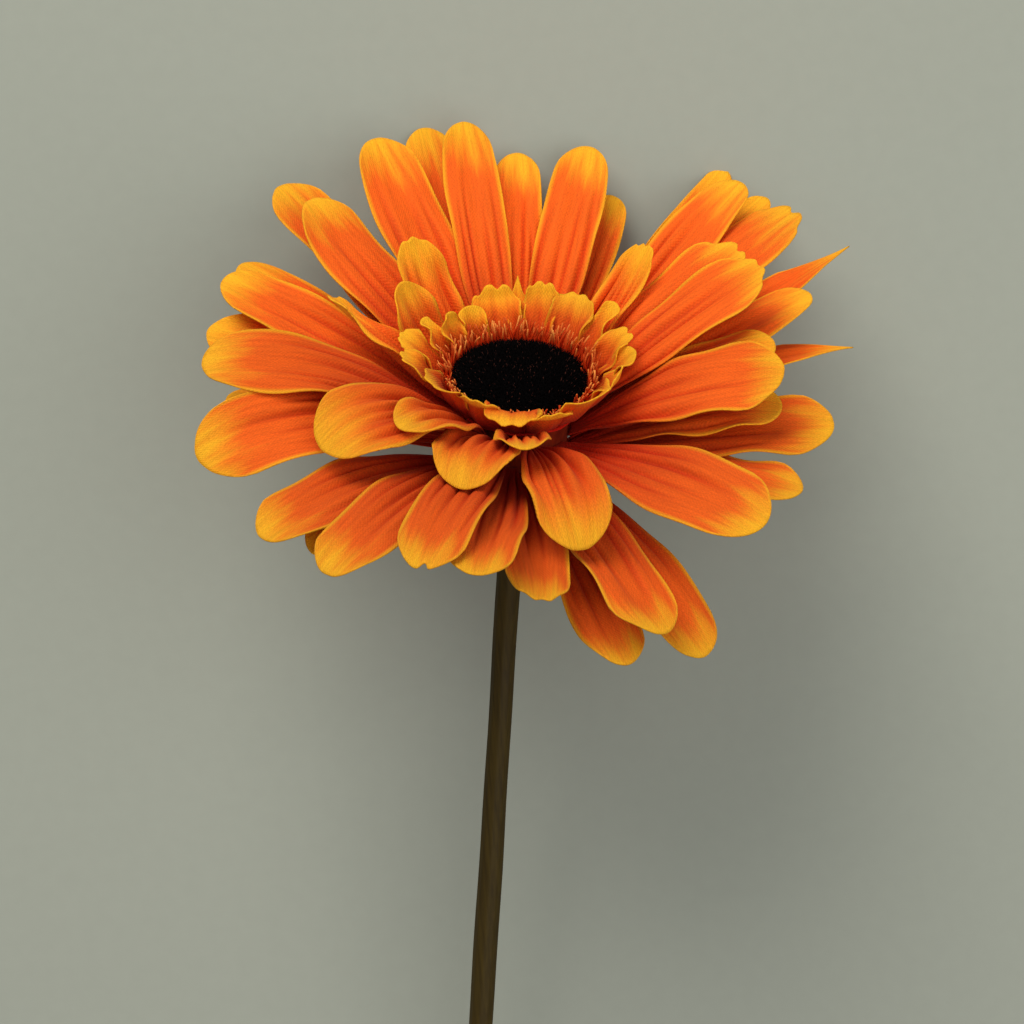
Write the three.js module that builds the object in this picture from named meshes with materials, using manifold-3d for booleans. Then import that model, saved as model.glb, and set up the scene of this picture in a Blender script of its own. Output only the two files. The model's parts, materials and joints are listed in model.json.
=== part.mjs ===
// A fabric gerbera with its stem cut short, lying on its side on a table.
// Millimetres, +Z up. The stem runs along -Y, the flower head is at the +Y end, and the
// origin is under the middle of the object's box, on the table.
//
// The flower is drawn in two frames of its own before it is laid down:
//   head frame    the disc's middle is the origin, and +Z is the way the face looks
//   flower frame  the head leans back from +Z towards +Y, and the stem runs off along -Y
import * as THREE from 'three';
import { mergeVertices } from 'three/addons/utils/BufferGeometryUtils.js';
import { ConvexHull } from 'three/addons/math/ConvexHull.js';
import Module from 'manifold-3d';

const wasm = await Module();
wasm.setup();

// ---- driving dimensions --------------------------------------------------------------

const CLEARANCE = 0.3; // between any two pieces that touch in the real flower

// flower head
const FACE_TILT = 55; // degrees that the face leans back from straight up
const FACE_LEAN = -3; // degrees that it leans sideways, to +X when negative
const HEAD_SCALE = 1; // of every petal's reach and width
const PETAL_THICKNESS = 0.4;
const PETAL_ROOT_WIDTH = 2.8;
const SEAT_PITCH = 1; // between one row of petal roots and the next
const SEAT_TOP = -7.7; // height of the highest row of petals, in the head frame
const SEAT_LAST_ROW = 8;

// hub, the plastic spindle that the petals are threaded on
const HUB_RADIUS = 8.6;
const HUB_TOP = -3.7;

// collar, the small upright petals round the disc, cut from one piece of cloth
const COLLAR_RIM_WIDTH = 2; // of its band, which also reaches out to the edge of the disc
const COLLAR_LIFT = 2.8; // rows above the highest row of petals
const COLLAR_OVERLAP = 0.6; // of its petals with its band
const COLLAR_THICKNESS = 0.5;

// disc, a dome of short pile
const DISC_RADIUS = 11;
const DISC_HEIGHT = 4.9;
const DISC_SHOULDER = 1; // height of its widest place
const DISC_STEPS = 5;

// fringe, the ring of cut threads round the disc
const FRINGE_WIDTH = 1;
const FRINGE_LIFT = 2; // above the underside of the disc
const FRINGE_HEIGHT = 4.2;

// calyx, the moulded cup below the petals
const CALYX_RADIUS = 9.6;
const CALYX_HEIGHT = 9;
const CALYX_WALL = 1.2;
const CALYX_RIM = 0.8; // thickness
const CALYX_SEPALS = 12;
const CALYX_SIDES_PER_SEPAL = 3;
const SEPAL_LENGTH = 4.5;
const SEPAL_DROP = 1.2;

// stem, a plastic tube on a wire
const STEM_LENGTH = 216; // of the straight run, below the neck's bend
const STEM_DIAMETER = 4.2;
const STEM_BORE = 2.2;
const WIRE_DIAMETER = 1.4;
const STEM_SLOPE = -7; // degrees from level, going away from the head
const STEM_SWING = 3.6; // degrees to -X
const NECK_REACH = 16; // size of the bend between the calyx and the straight run

// ---- petals --------------------------------------------------------------------------
// Each line is one petal. Row is the ring of roots that it belongs to, counted from 0 at
// the back. Heading is the way it points, in degrees anticlockwise from +X seen from in front
// of the face. Reach and rise place its tip: the distance from the disc's middle, and the
// angle above the disc's plane. Droop is how much it bends down from root to tip, sweep how
// much it bends sideways, and twist how far its tip is turned about its length, in degrees.
// Cup is how far its edges stand above its middle, in millimetres. Point is 0 for a round
// tip and 1 for a sharp one.

const COLUMNS = [
  'row', 'heading', 'reach', 'rise', 'width', 'droop', 'sweep', 'twist', 'cup', 'point',
];

const BACK_PETALS = [
  [1, 108, 65, 12, 10, 0, 0, 0, 0.5, 0],
  [2, 74, 54, 7, 9, 5, 0, 0, 0.5, 0],
  [1, 49, 65, 8.5, 8, 5, 0, 0, 0.5, 1],
  [2, 28, 64, 8, 9, 10, 8, 0, 0.5, 1],
  [1, 12, 57.5, 1, 10, 30, -10, 0, 0.5, 1],
  [2, 353, 53, -3, 13, 15, 0, 20, 0.5, 0],
  [1, 336, 51.5, -7, 12, 15, 0, 0, 0.5, 0],
  [1, 293, 55.5, -27, 11, 10, 0, 0, 0.5, 0],
  [2, 276, 49, -13, 11.5, 5, 0, -15, 0.5, 0],
  [3, 264, 51, -5, 12, 15, 0, 0, 0.5, 0],
  [1, 231, 51, -12, 10, 40, 0, 0, 0.5, 0],
  [1, 188, 49, -4, 10, 15, 0, 0, 0.5, 0],
  [1, 148, 59, 0, 10, 10, 0, 0, 0.5, 0],
];

const MIDDLE_PETALS = [
  [3, 166, 55.5, -3, 11, 15, 0, -20, 0.5, 0],
  [3, 135, 63, 8, 12, 10, 0, 0, 1, 0],
  [4, 119, 60, 15, 12.5, 5, 0, 0, 1, 0],
  [3, 92.6, 56, 13, 9, 5, 0, 0, 0.5, 0],
  [3, 57.5, 66, 9, 7.5, 5, 5, 10, 0.5, 0],
  [4, 39, 61.5, 11, 12.5, 10, 0, 0, 0.5, 0],
  [3, 20, 52.5, 6, 11, 10, 0, 0, 0.5, 0],
  [4, 5.5, 43, 8, 11, 20, 0, 15, 0.5, 0],
  [3, 350, 44, 2, 10, 20, 0, 20, 0.5, 0],
  [3, 308, 58, -26, 12, 20, 0, 0, 0.5, 0],
  [4, 254.5, 52.5, -6, 11.5, 45, 0, 0, 0.5, 0],
  [2, 225, 56, -9, 13, 45, 0, 0, 0.5, 0],
  [4, 205, 56.5, -4.5, 14, 60, 0, -40, 0.5, 0],
];

const FRONT_PETALS = [
  [5, 159, 55.5, 3, 11, 15, 0, -20, 0.5, 0],
  [6, 140, 51.5, 12, 13, 5, 0, 0, 0.5, 0],
  [5, 103, 58.5, 17, 10, 0, 0, 0, 0.5, 0],
  [6, 79.5, 57, 15, 10.5, 0, 0, 0, 0.5, 0],
  [5, 50.5, 60, 12, 10.5, 10, 0, 0, 0.5, 0],
  [6, 34, 46, 16, 13, 15, 0, 5, 0.5, 0],
  [7, 19, 45, 14, 13.5, 15, 0, 8, 0.5, 0],
  [6, 351, 44.5, 9, 14, 30, 0, 30, 0.5, 0],
  [6, 318, 53.5, -3, 15, 20, 0, 25, 0.5, 0],
  [5, 297, 56, -24, 12.5, 15, 0, -15, 0.5, 0],
  [3, 241, 58, -14, 12, 45, 0, 0, 0.5, 0],
  [5, 191, 53, 2, 13, 50, 0, -22, 0.5, 0],
];

const SHORT_PETALS = [
  [7, 130, 33, 20, 10, -40, 0, 0, 1, 0],
  [8, 147, 26.5, 15, 10, -40, 0, 0, 1, 0],
  [6, 162, 36, 8, 8, 20, 0, 30, 0.5, 0],
  [7, 218, 39.5, -1, 15, 80, 0, -20, 0.5, 0],
  [8, 230, 29, 2, 11, 60, 0, 0, 0.5, 0],
  [7, 254, 31.5, -6, 13.5, 85, 0, 0, 0.5, 0],
  [8, 273, 25, 0, 9, 45, 0, 0, 0.5, 0],
  [7, 287, 39, -14, 13, 85, 0, 0, 0.5, 0],
  [8, 51, 35, 16, 7, -20, 0, 0, 1, 0],
];

// The collar's petals, with the same columns, but their reach is counted from the edge of
// the disc.
const COLLAR_PETALS = [
  [9, 15, 9, 17, 6, -20, 0, 0, 0.5, 0],
  [9, 40, 10, 17, 6, -20, 0, 0, 0.5, 0],
  [9, 65, 10, 17, 5, -20, 0, 0, 0.5, 0],
  [9, 90, 10, 17, 6, -20, 0, 0, 0.5, 0],
  [9, 115, 10, 17, 6, -20, 0, 0, 0.5, 0],
  [9, 140, 10, 17, 6, -20, 0, 0, 0.5, 0],
  [9, 165, 10, 17, 6, -20, 0, 0, 0.5, 0],
  [9, 190, 10, 17, 6, -20, 0, 0, 0.5, 0],
  [9, 215, 10, 17, 7, -20, 0, 0, 0.5, 0],
  [9, 243, 10, 17, 7, -20, 0, 0, 0.5, 0],
  [9, 268, 10, 17, 7, -20, 0, 0, 0.5, 0],
  [9, 293, 10, 17, 7, -20, 0, 0, 0.5, 0],
  [9, 318, 10, 17, 7, -20, 0, 0, 0.5, 0],
  [9, 345, 10, 17, 7, -20, 0, 0, 0.5, 0],
];

// ---- finishes ------------------------------------------------------------------------

const finish = (color, roughness, metalness = 0) =>
  new THREE.MeshStandardMaterial({ color, roughness, metalness });

const OUTER_CLOTH = finish('#f0701e', 0.75);
const SHORT_CLOTH = finish('#f28a1e', 0.75);
const COLLAR_CLOTH = finish('#f08a18', 0.75);
const FRINGE_THREAD = finish('#d9601a', 0.9);
const BLACK_PILE = finish('#0c0606', 1);
const RED_PLASTIC = finish('#8a2a0c', 0.7);
const GREEN_PLASTIC = finish('#4a4a22', 0.55);
const STEM_PLASTIC = finish('#3a2f0d', 0.5);
const WIRE_STEEL = finish('#8a8a86', 0.4, 1);

// ---- small tools ---------------------------------------------------------------------

const radians = THREE.MathUtils.degToRad;

/** Turns a closed geometry into a solid. */
function toSolid(geometry) {
  const shape = geometry.clone();
  shape.deleteAttribute('normal');
  shape.deleteAttribute('uv');
  const merged = mergeVertices(shape, 1e-4);
  const vertProperties = new Float32Array(merged.attributes.position.array);
  const triVerts = new Uint32Array(merged.index.array);
  return new wasm.Manifold(new wasm.Mesh({ numProp: 3, vertProperties, triVerts }));
}

/** Turns a solid back into a geometry. */
function toGeometry(solid) {
  const mesh = solid.getMesh();
  const geometry = new THREE.BufferGeometry();
  geometry.setAttribute('position', new THREE.BufferAttribute(mesh.vertProperties, 3));
  geometry.setIndex(new THREE.BufferAttribute(mesh.triVerts, 1));
  return geometry;
}

/** Spins a closed outline of [radius, height] points about the head's axis. */
function turned(outline, segments) {
  const points = outline.map(([radius, height]) => new THREE.Vector2(radius, height));
  const geometry = new THREE.LatheGeometry(points, segments);
  geometry.rotateX(Math.PI / 2); // the lathe's own axis is Y
  return geometry;
}

function named(name, geometry, material) {
  const mesh = new THREE.Mesh(geometry, material);
  mesh.name = name;
  return mesh;
}

// ---- petal ---------------------------------------------------------------------------

// Where a petal's points are: along its length, and from one edge to the other.
const FINE_GRID = {
  stations: [0, 0.12, 0.26, 0.42, 0.58, 0.73, 0.86, 0.95, 1],
  across: [-1, -0.5, 0, 0.5, 1],
};
const COARSE_GRID = { stations: [0, 0.12, 0.26, 0.45, 0.65, 0.85, 1], across: [-1, -0.5, 0, 0.5, 1] };
const WIDEST_AT = 0.66; // of the length
const ROUND_TIP = 0.4; // how far past the widest place the outline would close
const SHARP_TIP = 0.355;
const TIP_BOW = 0.55; // depth of the tip's curve, in half-widths
const ARC_STEPS = 48;
const BEND_POWER = 1.7; // above 1, a petal bends most near its tip

/** Half the width at one station, as a share of half the full width. */
function outlineShare(station, rootShare, point) {
  if (station < WIDEST_AT) {
    const grown = Math.sin((station / WIDEST_AT) * (Math.PI / 2)) ** 1.3;
    return rootShare + (1 - rootShare) * grown;
  }
  const close = THREE.MathUtils.lerp(ROUND_TIP, SHARP_TIP, point);
  return Math.sqrt(1 - ((station - WIDEST_AT) / close) ** 2);
}

/** How far a petal has bent at one share of its length, as a share of its whole bend. */
const bentAt = (share) => share ** BEND_POWER;

/** Where a line of unit length ends, when it sets off at `up` and `turn` and bends. */
function bentEnd(up, turn, droop, sweep) {
  const end = new THREE.Vector3();
  for (let i = 0; i < ARC_STEPS; i += 1) {
    const bent = bentAt((i + 0.5) / ARC_STEPS);
    end.add(direction(up - droop * bent, turn + sweep * bent).divideScalar(ARC_STEPS));
  }
  return end;
}

/** A unit vector that climbs by `up` and heads for `turn`, in radians. */
function direction(up, turn) {
  const level = new THREE.Vector3(Math.cos(turn), Math.sin(turn), 0);
  return level.multiplyScalar(Math.cos(up)).setZ(Math.sin(up));
}

/** The petal's midline as evenly spaced frames, from its root to its tip. */
function midline(petal, seat) {
  const heading = radians(petal.heading);
  const root = direction(0, heading).multiplyScalar(seat.radius).setZ(seat.height);
  const tip = direction(radians(petal.rise), heading).multiplyScalar(petal.reach);
  const chord = tip.clone().sub(root);
  const climb = Math.asin(chord.z / chord.length());
  const droop = radians(petal.droop);
  const sweep = radians(petal.sweep);
  const trial = bentEnd(climb, heading, droop, sweep);
  const up = 2 * climb - Math.asin(trial.z / trial.length());
  const turn = 2 * heading - Math.atan2(trial.y, trial.x);
  const step = chord.length() / trial.length() / ARC_STEPS;
  const place = root.clone();
  const frames = [];
  for (let i = 0; i <= ARC_STEPS; i += 1) {
    const share = i / ARC_STEPS;
    const bent = bentAt(share);
    const along = direction(up - droop * bent, turn + sweep * bent);
    const across = new THREE.Vector3(-along.y, along.x, 0).normalize();
    across.applyAxisAngle(along, radians(petal.twist) * share);
    const normal = new THREE.Vector3().crossVectors(along, across);
    frames.push({ place: place.clone(), along, across, normal });
    const bentNext = bentAt((i + 0.5) / ARC_STEPS);
    place.addScaledVector(direction(up - droop * bentNext, turn + sweep * bentNext), step);
  }
  return frames;
}

/** One petal as a closed sheet, grown by `margin` all round. */
function petalGeometry(petal, seat, margin = 0, { stations, across } = FINE_GRID) {
  const frames = midline(petal, seat);
  const halfWidth = petal.width / 2;
  const rootShare = PETAL_ROOT_WIDTH / petal.width;
  const columns = across.length;
  const middle = stations.flatMap((station) => {
    const half = halfWidth * outlineShare(station, rootShare, petal.point);
    return across.map((side) => {
      const bow = TIP_BOW * half * side ** 2 * station ** 4;
      const frame = frames[Math.round(station * ARC_STEPS)];
      const point = frame.place.clone();
      point.addScaledVector(frame.across, side * (half + margin));
      point.addScaledVector(frame.along, station === 1 ? margin - bow : -bow);
      return point.addScaledVector(frame.normal, petal.cup * (half / halfWidth) * side ** 2);
    });
  });
  const at = (row, column) => {
    const r = THREE.MathUtils.clamp(row, 0, stations.length - 1);
    const c = THREE.MathUtils.clamp(column, 0, columns - 1);
    return middle[r * columns + c];
  };
  const half = PETAL_THICKNESS / 2 + margin;
  const upper = [];
  const lower = [];
  for (let row = 0; row < stations.length; row += 1) {
    for (let column = 0; column < columns; column += 1) {
      const lengthwise = at(row + 1, column).clone().sub(at(row - 1, column));
      const crosswise = at(row, column + 1).clone().sub(at(row, column - 1));
      const normal = lengthwise.cross(crosswise).normalize();
      upper.push(at(row, column).clone().addScaledVector(normal, half));
      lower.push(at(row, column).clone().addScaledVector(normal, -half));
    }
  }
  return closedSheet(upper, lower, columns);
}

/** Joins two grids of points, an upper and a lower, into one closed sheet. */
function closedSheet(upper, lower, columns) {
  const rows = upper.length / columns;
  const under = upper.length;
  const index = [];
  const quad = (a, b, c, d) => index.push(a, b, c, a, c, d);
  for (let row = 0; row + 1 < rows; row += 1) {
    for (let column = 0; column + 1 < columns; column += 1) {
      const a = row * columns + column;
      const b = a + columns;
      quad(a, b, b + 1, a + 1);
      quad(under + a, under + a + 1, under + b + 1, under + b);
    }
  }
  const rim = [];
  for (let column = 0; column < columns; column += 1) rim.push(column);
  for (let row = 1; row < rows; row += 1) rim.push(row * columns + columns - 1);
  for (let column = columns - 2; column >= 0; column -= 1) rim.push((rows - 1) * columns + column);
  for (let row = rows - 2; row > 0; row -= 1) rim.push(row * columns);
  rim.forEach((a, i) => {
    const b = rim[(i + 1) % rim.length];
    quad(a, b, under + b, under + a);
  });
  const geometry = new THREE.BufferGeometry();
  geometry.setFromPoints([...upper, ...lower]);
  geometry.setIndex(index);
  return geometry;
}

// ---- laying the petals on each other -------------------------------------------------

const LAY_STEP = 1; // degrees
const LAY_TRIES = 60;
const TOUCH_VOLUME = 1e-6;
const PETAL_ROOT_GAP = 0.4;

const laid = []; // every solid that later petals have to stay clear of

function remember(geometry) {
  geometry.computeBoundingBox();
  laid.push({ box: geometry.boundingBox.clone(), solid: toSolid(geometry) });
}

function isClear(geometry) {
  geometry.computeBoundingBox();
  const near = laid.filter(({ box }) => box.intersectsBox(geometry.boundingBox));
  if (near.length === 0) return true;
  const probe = toSolid(geometry);
  return near.every(({ solid }) => probe.intersect(solid).volume() < TOUCH_VOLUME);
}

/** Raises a petal, a degree at a time, until it lies clear on those behind it. */
function raiseUntilClear(petal, seat, grid) {
  for (let i = 0; i < LAY_TRIES; i += 1) {
    if (isClear(petalGeometry(petal, seat, CLEARANCE, grid))) return;
    petal.rise += LAY_STEP;
  }
}

/** Lays one petal on the flower. */
function lay(petal, seat) {
  raiseUntilClear(petal, seat, FINE_GRID);
  const geometry = petalGeometry(petal, seat);
  remember(geometry);
  return geometry;
}

/** Reads a row of a petal table. */
function readPetal(row) {
  const petal = Object.fromEntries(COLUMNS.map((column, i) => [column, row[i]]));
  petal.reach *= HEAD_SCALE;
  petal.width *= HEAD_SCALE;
  return petal;
}

/** Lays every petal, from the lowest row of roots to the highest. */
function layAll(whorls) {
  const designs = whorls.flatMap(({ name, rows, material }) =>
    rows.map((row, i) => {
      const number = String(i + 1).padStart(2, '0');
      return { name: `${name}_petal_${number}`, petal: readPetal(row), material };
    }),
  );
  designs.sort((one, other) => one.petal.row - other.petal.row);
  return designs.map(({ name, petal, material }) => {
    const height = SEAT_TOP - SEAT_PITCH * (SEAT_LAST_ROW - petal.row);
    const seat = { radius: HUB_RADIUS + PETAL_ROOT_GAP, height };
    return named(name, lay(petal, seat), material);
  });
}

// ---- head ----------------------------------------------------------------------------

const hubBottom = SEAT_TOP - SEAT_PITCH * (SEAT_LAST_ROW + 0.8);
const discBottom = HUB_TOP + CLEARANCE;
const fringeInside = DISC_RADIUS + CLEARANCE;
const fringeBottom = discBottom + FRINGE_LIFT;

/** The spindle, a plain drum. */
function makeHub() {
  const outline = [[0, hubBottom], [HUB_RADIUS, hubBottom], [HUB_RADIUS, HUB_TOP], [0, HUB_TOP]];
  return named('hub', turned(outline, 32), RED_PLASTIC);
}

/** The pile disc, a low dome on a narrow foot. */
function makeDisc() {
  const shoulder = discBottom + DISC_SHOULDER;
  const outline = [[0, discBottom], [DISC_RADIUS * 0.94, discBottom], [DISC_RADIUS, shoulder]];
  for (let i = 1; i <= DISC_STEPS; i += 1) {
    const angle = (i / DISC_STEPS) * (Math.PI / 2);
    const rise = (DISC_HEIGHT - DISC_SHOULDER) * Math.sin(angle) ** 0.8;
    outline.push([DISC_RADIUS * Math.cos(angle), shoulder + rise]);
  }
  return named('disc', turned(outline, 32), BLACK_PILE);
}

/** The ring that the threads fill, thinner at its top. */
function makeFringe() {
  const top = fringeBottom + FRINGE_HEIGHT;
  const outline = [
    [fringeInside, fringeBottom],
    [fringeInside + FRINGE_WIDTH, fringeBottom],
    [fringeInside + FRINGE_WIDTH * 1.1, top - 1],
    [fringeInside + FRINGE_WIDTH * 0.6, top],
    [fringeInside, top - 1],
    [fringeInside, fringeBottom],
  ];
  return named('fringe', turned(outline, 40), FRINGE_THREAD);
}

/** One piece: a flat band that grips the hub, with the collar's petals rising from it. */
function makeCollar() {
  const height = SEAT_TOP + SEAT_PITCH * COLLAR_LIFT;
  const inside = HUB_RADIUS + PETAL_ROOT_GAP;
  const outside = Math.max(inside + COLLAR_RIM_WIDTH, DISC_RADIUS);
  const low = height - COLLAR_THICKNESS / 2;
  const high = height + COLLAR_THICKNESS / 2;
  const band = [[inside, low], [outside, low], [outside, high], [inside, high], [inside, low]];
  const seat = { radius: outside - COLLAR_OVERLAP, height };
  const petals = COLLAR_PETALS.map((row) => {
    const petal = readPetal(row);
    petal.reach += DISC_RADIUS;
    raiseUntilClear(petal, seat, COARSE_GRID);
    return toSolid(petalGeometry(petal, seat, 0, COARSE_GRID));
  });
  const ring = toSolid(turned(band, 40));
  return named('collar', toGeometry(wasm.Manifold.union([ring, ...petals])), COLLAR_CLOTH);
}

// ---- calyx and stem ------------------------------------------------------------------

const calyxTop = hubBottom - CLEARANCE;
const calyxBottom = calyxTop - CALYX_HEIGHT;
const sleeveInside = STEM_DIAMETER / 2 + CLEARANCE;

/** The cup under the petals, whose rim is drawn out into pointed sepals. */
function makeCalyx() {
  const outline = [
    [CALYX_RADIUS, calyxTop - CALYX_RIM],
    [CALYX_RADIUS, calyxTop],
    [sleeveInside, calyxTop],
    [sleeveInside, calyxBottom],
    [sleeveInside + CALYX_WALL, calyxBottom],
    [sleeveInside + CALYX_WALL * 1.6, calyxBottom + CALYX_HEIGHT * 0.3],
    [CALYX_RADIUS * 0.72, calyxBottom + CALYX_HEIGHT * 0.66],
    [CALYX_RADIUS, calyxTop - CALYX_RIM],
  ];
  const geometry = turned(outline, CALYX_SEPALS * CALYX_SIDES_PER_SEPAL);
  const place = geometry.attributes.position;
  const point = new THREE.Vector3();
  for (let i = 0; i < place.count; i += 1) {
    const side = Math.floor(i / outline.length);
    point.fromBufferAttribute(place, i);
    const onRim = Math.hypot(point.x, point.y) > CALYX_RADIUS - 0.01;
    if (!onRim || side % CALYX_SIDES_PER_SEPAL !== 0) continue;
    point.addScaledVector(point.clone().setZ(0).normalize(), SEPAL_LENGTH);
    place.setXYZ(i, point.x, point.y, point.z - SEPAL_DROP);
  }
  return named('calyx', geometry, GREEN_PLASTIC);
}

const tilt = new THREE.Euler(-radians(FACE_TILT), 0, radians(FACE_LEAN), 'ZYX');
const headTurn = new THREE.Quaternion().setFromEuler(tilt);
const faceAxis = new THREE.Vector3(0, 0, 1).applyQuaternion(headTurn);

/** The stem's middle line in the flower frame: out of the calyx, round the neck, straight. */
function stemPath() {
  const start = faceAxis.clone().multiplyScalar(calyxTop - CLEARANCE);
  const mouth = faceAxis.clone().multiplyScalar(calyxBottom - 1);
  const away = new THREE.Vector3(
    -Math.sin(radians(STEM_SWING)),
    -Math.cos(radians(STEM_SWING)),
    Math.tan(radians(STEM_SLOPE)),
  ).normalize();
  const corner = mouth.clone().addScaledVector(faceAxis, -NECK_REACH / 2);
  const bendEnd = corner.clone().addScaledVector(away, NECK_REACH / 2);
  const end = bendEnd.clone().addScaledVector(away, STEM_LENGTH);
  const path = new THREE.CurvePath();
  path.add(new THREE.LineCurve3(start, mouth));
  path.add(new THREE.QuadraticBezierCurve3(mouth, corner, bendEnd));
  path.add(new THREE.LineCurve3(bendEnd, end));
  return path;
}

const STEM_STEPS = 32;

/** A closed outline of a round section. */
function circleShape(diameter, sides, into = new THREE.Shape()) {
  for (let i = 0; i < sides; i += 1) {
    const angle = (i / sides) * 2 * Math.PI;
    const x = (diameter / 2) * Math.cos(angle);
    const y = (diameter / 2) * Math.sin(angle);
    if (i === 0) into.moveTo(x, y);
    else into.lineTo(x, y);
  }
  into.closePath();
  return into;
}

/** A flat section drawn out along the stem's middle line. */
function alongStem(section) {
  const options = { steps: STEM_STEPS, extrudePath: stemPath(), bevelEnabled: false };
  return new THREE.ExtrudeGeometry(section, options);
}

function makeStem() {
  const section = circleShape(STEM_DIAMETER, 12);
  section.holes.push(circleShape(STEM_BORE, 8, new THREE.Path()));
  return named('stem', alongStem(section), STEM_PLASTIC);
}

function makeWire() {
  return named('stem_wire', alongStem(circleShape(WIRE_DIAMETER, 8)), WIRE_STEEL);
}

// ---- assembly ------------------------------------------------------------------------

const flower = new THREE.Group();
const head = new THREE.Group();
head.quaternion.copy(headTurn);
flower.add(head);

const fixed = [makeHub(), makeDisc(), makeFringe(), makeCalyx()];
fixed.forEach((mesh) => remember(mesh.geometry));
const petals = layAll([
  { name: 'back', rows: BACK_PETALS, material: OUTER_CLOTH },
  { name: 'middle', rows: MIDDLE_PETALS, material: OUTER_CLOTH },
  { name: 'front', rows: FRONT_PETALS, material: OUTER_CLOTH },
  { name: 'short', rows: SHORT_PETALS, material: SHORT_CLOTH },
]);
head.add(...fixed, ...petals, makeCollar());
flower.add(makeStem(), makeWire());

// ---- laying the flower down ----------------------------------------------------------

/** Every vertex of the flower, and the middle of its weight. */
function measure(root) {
  root.updateMatrixWorld(true);
  const points = [];
  const balance = new THREE.Vector3();
  let weight = 0;
  root.traverse((mesh) => {
    if (!mesh.isMesh) return;
    const shape = mesh.geometry.index ? mesh.geometry.toNonIndexed() : mesh.geometry.clone();
    shape.applyMatrix4(mesh.matrixWorld);
    const spots = shape.attributes.position;
    for (let i = 0; i < spots.count; i += 3) {
      const [a, b, c] = [0, 1, 2].map((k) => new THREE.Vector3().fromBufferAttribute(spots, i + k));
      const volume = a.dot(b.clone().cross(c)) / 6;
      points.push(a, b, c);
      weight += volume;
      balance.addScaledVector(a.clone().add(b).add(c), volume / 4);
    }
  });
  return { points, balance: balance.divideScalar(weight) };
}

/** The outward normal of the hull's face that the flower would rest on. */
function restingSide({ points, balance }) {
  const hull = new ConvexHull().setFromPoints(points);
  let best = null;
  for (const face of hull.faces) {
    const [a, b, c] = [face.getEdge(0), face.getEdge(1), face.getEdge(2)].map((e) => e.head().point);
    const below = new THREE.Vector3();
    new THREE.Plane(face.normal, -face.constant).projectPoint(balance, below);
    const stands = new THREE.Triangle(a, b, c).containsPoint(below);
    if (stands && (best === null || face.normal.z < best.z)) best = face.normal.clone();
  }
  return best;
}

const down = restingSide(measure(flower));
const settle = new THREE.Quaternion().setFromUnitVectors(down, new THREE.Vector3(0, 0, -1));
const straighten = new THREE.Quaternion();
straighten.setFromAxisAngle(new THREE.Vector3(0, 0, 1), -radians(STEM_SWING));
flower.quaternion.copy(settle).premultiply(straighten);
flower.updateMatrixWorld(true);

const extent = new THREE.Box3().setFromObject(flower, true);
const centre = extent.getCenter(new THREE.Vector3());
flower.position.set(-centre.x, -centre.y, -extent.min.z);

const gerbera = new THREE.Group();
gerbera.add(flower);
gerbera.updateMatrixWorld(true);

export default gerbera;
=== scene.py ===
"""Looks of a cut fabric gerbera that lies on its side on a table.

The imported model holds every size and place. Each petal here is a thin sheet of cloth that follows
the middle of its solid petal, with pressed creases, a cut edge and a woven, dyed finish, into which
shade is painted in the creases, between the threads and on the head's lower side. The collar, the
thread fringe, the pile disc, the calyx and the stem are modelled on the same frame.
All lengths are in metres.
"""

import json
import logging
import math
from dataclasses import dataclass, field
from enum import Enum
from typing import Callable, Sequence

import bpy
import numpy as np
from mathutils import Matrix, Vector
from mathutils.kdtree import KDTree

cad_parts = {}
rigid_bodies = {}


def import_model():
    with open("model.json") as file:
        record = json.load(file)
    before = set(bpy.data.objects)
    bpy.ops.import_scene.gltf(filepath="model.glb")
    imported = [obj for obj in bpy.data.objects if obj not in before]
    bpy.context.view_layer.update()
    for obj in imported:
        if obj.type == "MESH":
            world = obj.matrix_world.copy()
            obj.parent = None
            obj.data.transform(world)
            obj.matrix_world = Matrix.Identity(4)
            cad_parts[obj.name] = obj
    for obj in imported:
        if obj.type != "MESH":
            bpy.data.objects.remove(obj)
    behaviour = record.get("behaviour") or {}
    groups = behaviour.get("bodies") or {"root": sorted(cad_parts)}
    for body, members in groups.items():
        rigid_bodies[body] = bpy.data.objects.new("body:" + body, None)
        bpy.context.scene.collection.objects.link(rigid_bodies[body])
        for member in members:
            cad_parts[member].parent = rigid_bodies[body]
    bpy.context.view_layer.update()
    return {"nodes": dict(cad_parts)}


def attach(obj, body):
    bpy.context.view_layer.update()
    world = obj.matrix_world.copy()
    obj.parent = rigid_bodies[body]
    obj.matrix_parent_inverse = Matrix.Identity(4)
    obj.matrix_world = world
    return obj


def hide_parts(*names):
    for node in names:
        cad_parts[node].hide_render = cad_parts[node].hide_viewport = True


LOG = logging.getLogger("gerbera")
MM = 0.001
BODY = "root"

TINY = 1e-12  # keeps a division by a length of nothing from failing

Array = np.ndarray
Colour = tuple[float, float, float]
Socket = bpy.types.NodeSocket
Value = Socket | float


# ---- small tools ---------------------------------------------------------------------------


def clear_selection() -> None:
    """Deselects every object, so that an operator acts only on what is selected next."""
    for piece in bpy.context.view_layer.objects:
        piece.select_set(False)


def pick(piece: bpy.types.Object) -> None:
    """Makes one object the only selected and active one.

    Args:
        piece: The object to select.
    """
    clear_selection()
    piece.select_set(True)
    bpy.context.view_layer.objects.active = piece


def apply_modifiers(piece: bpy.types.Object) -> None:
    """Applies an object's modifiers, first to last.

    Args:
        piece: The object whose modifiers are applied.
    """
    pick(piece)
    for modifier in list(piece.modifiers):
        bpy.ops.object.modifier_apply(modifier=modifier.name)


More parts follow.
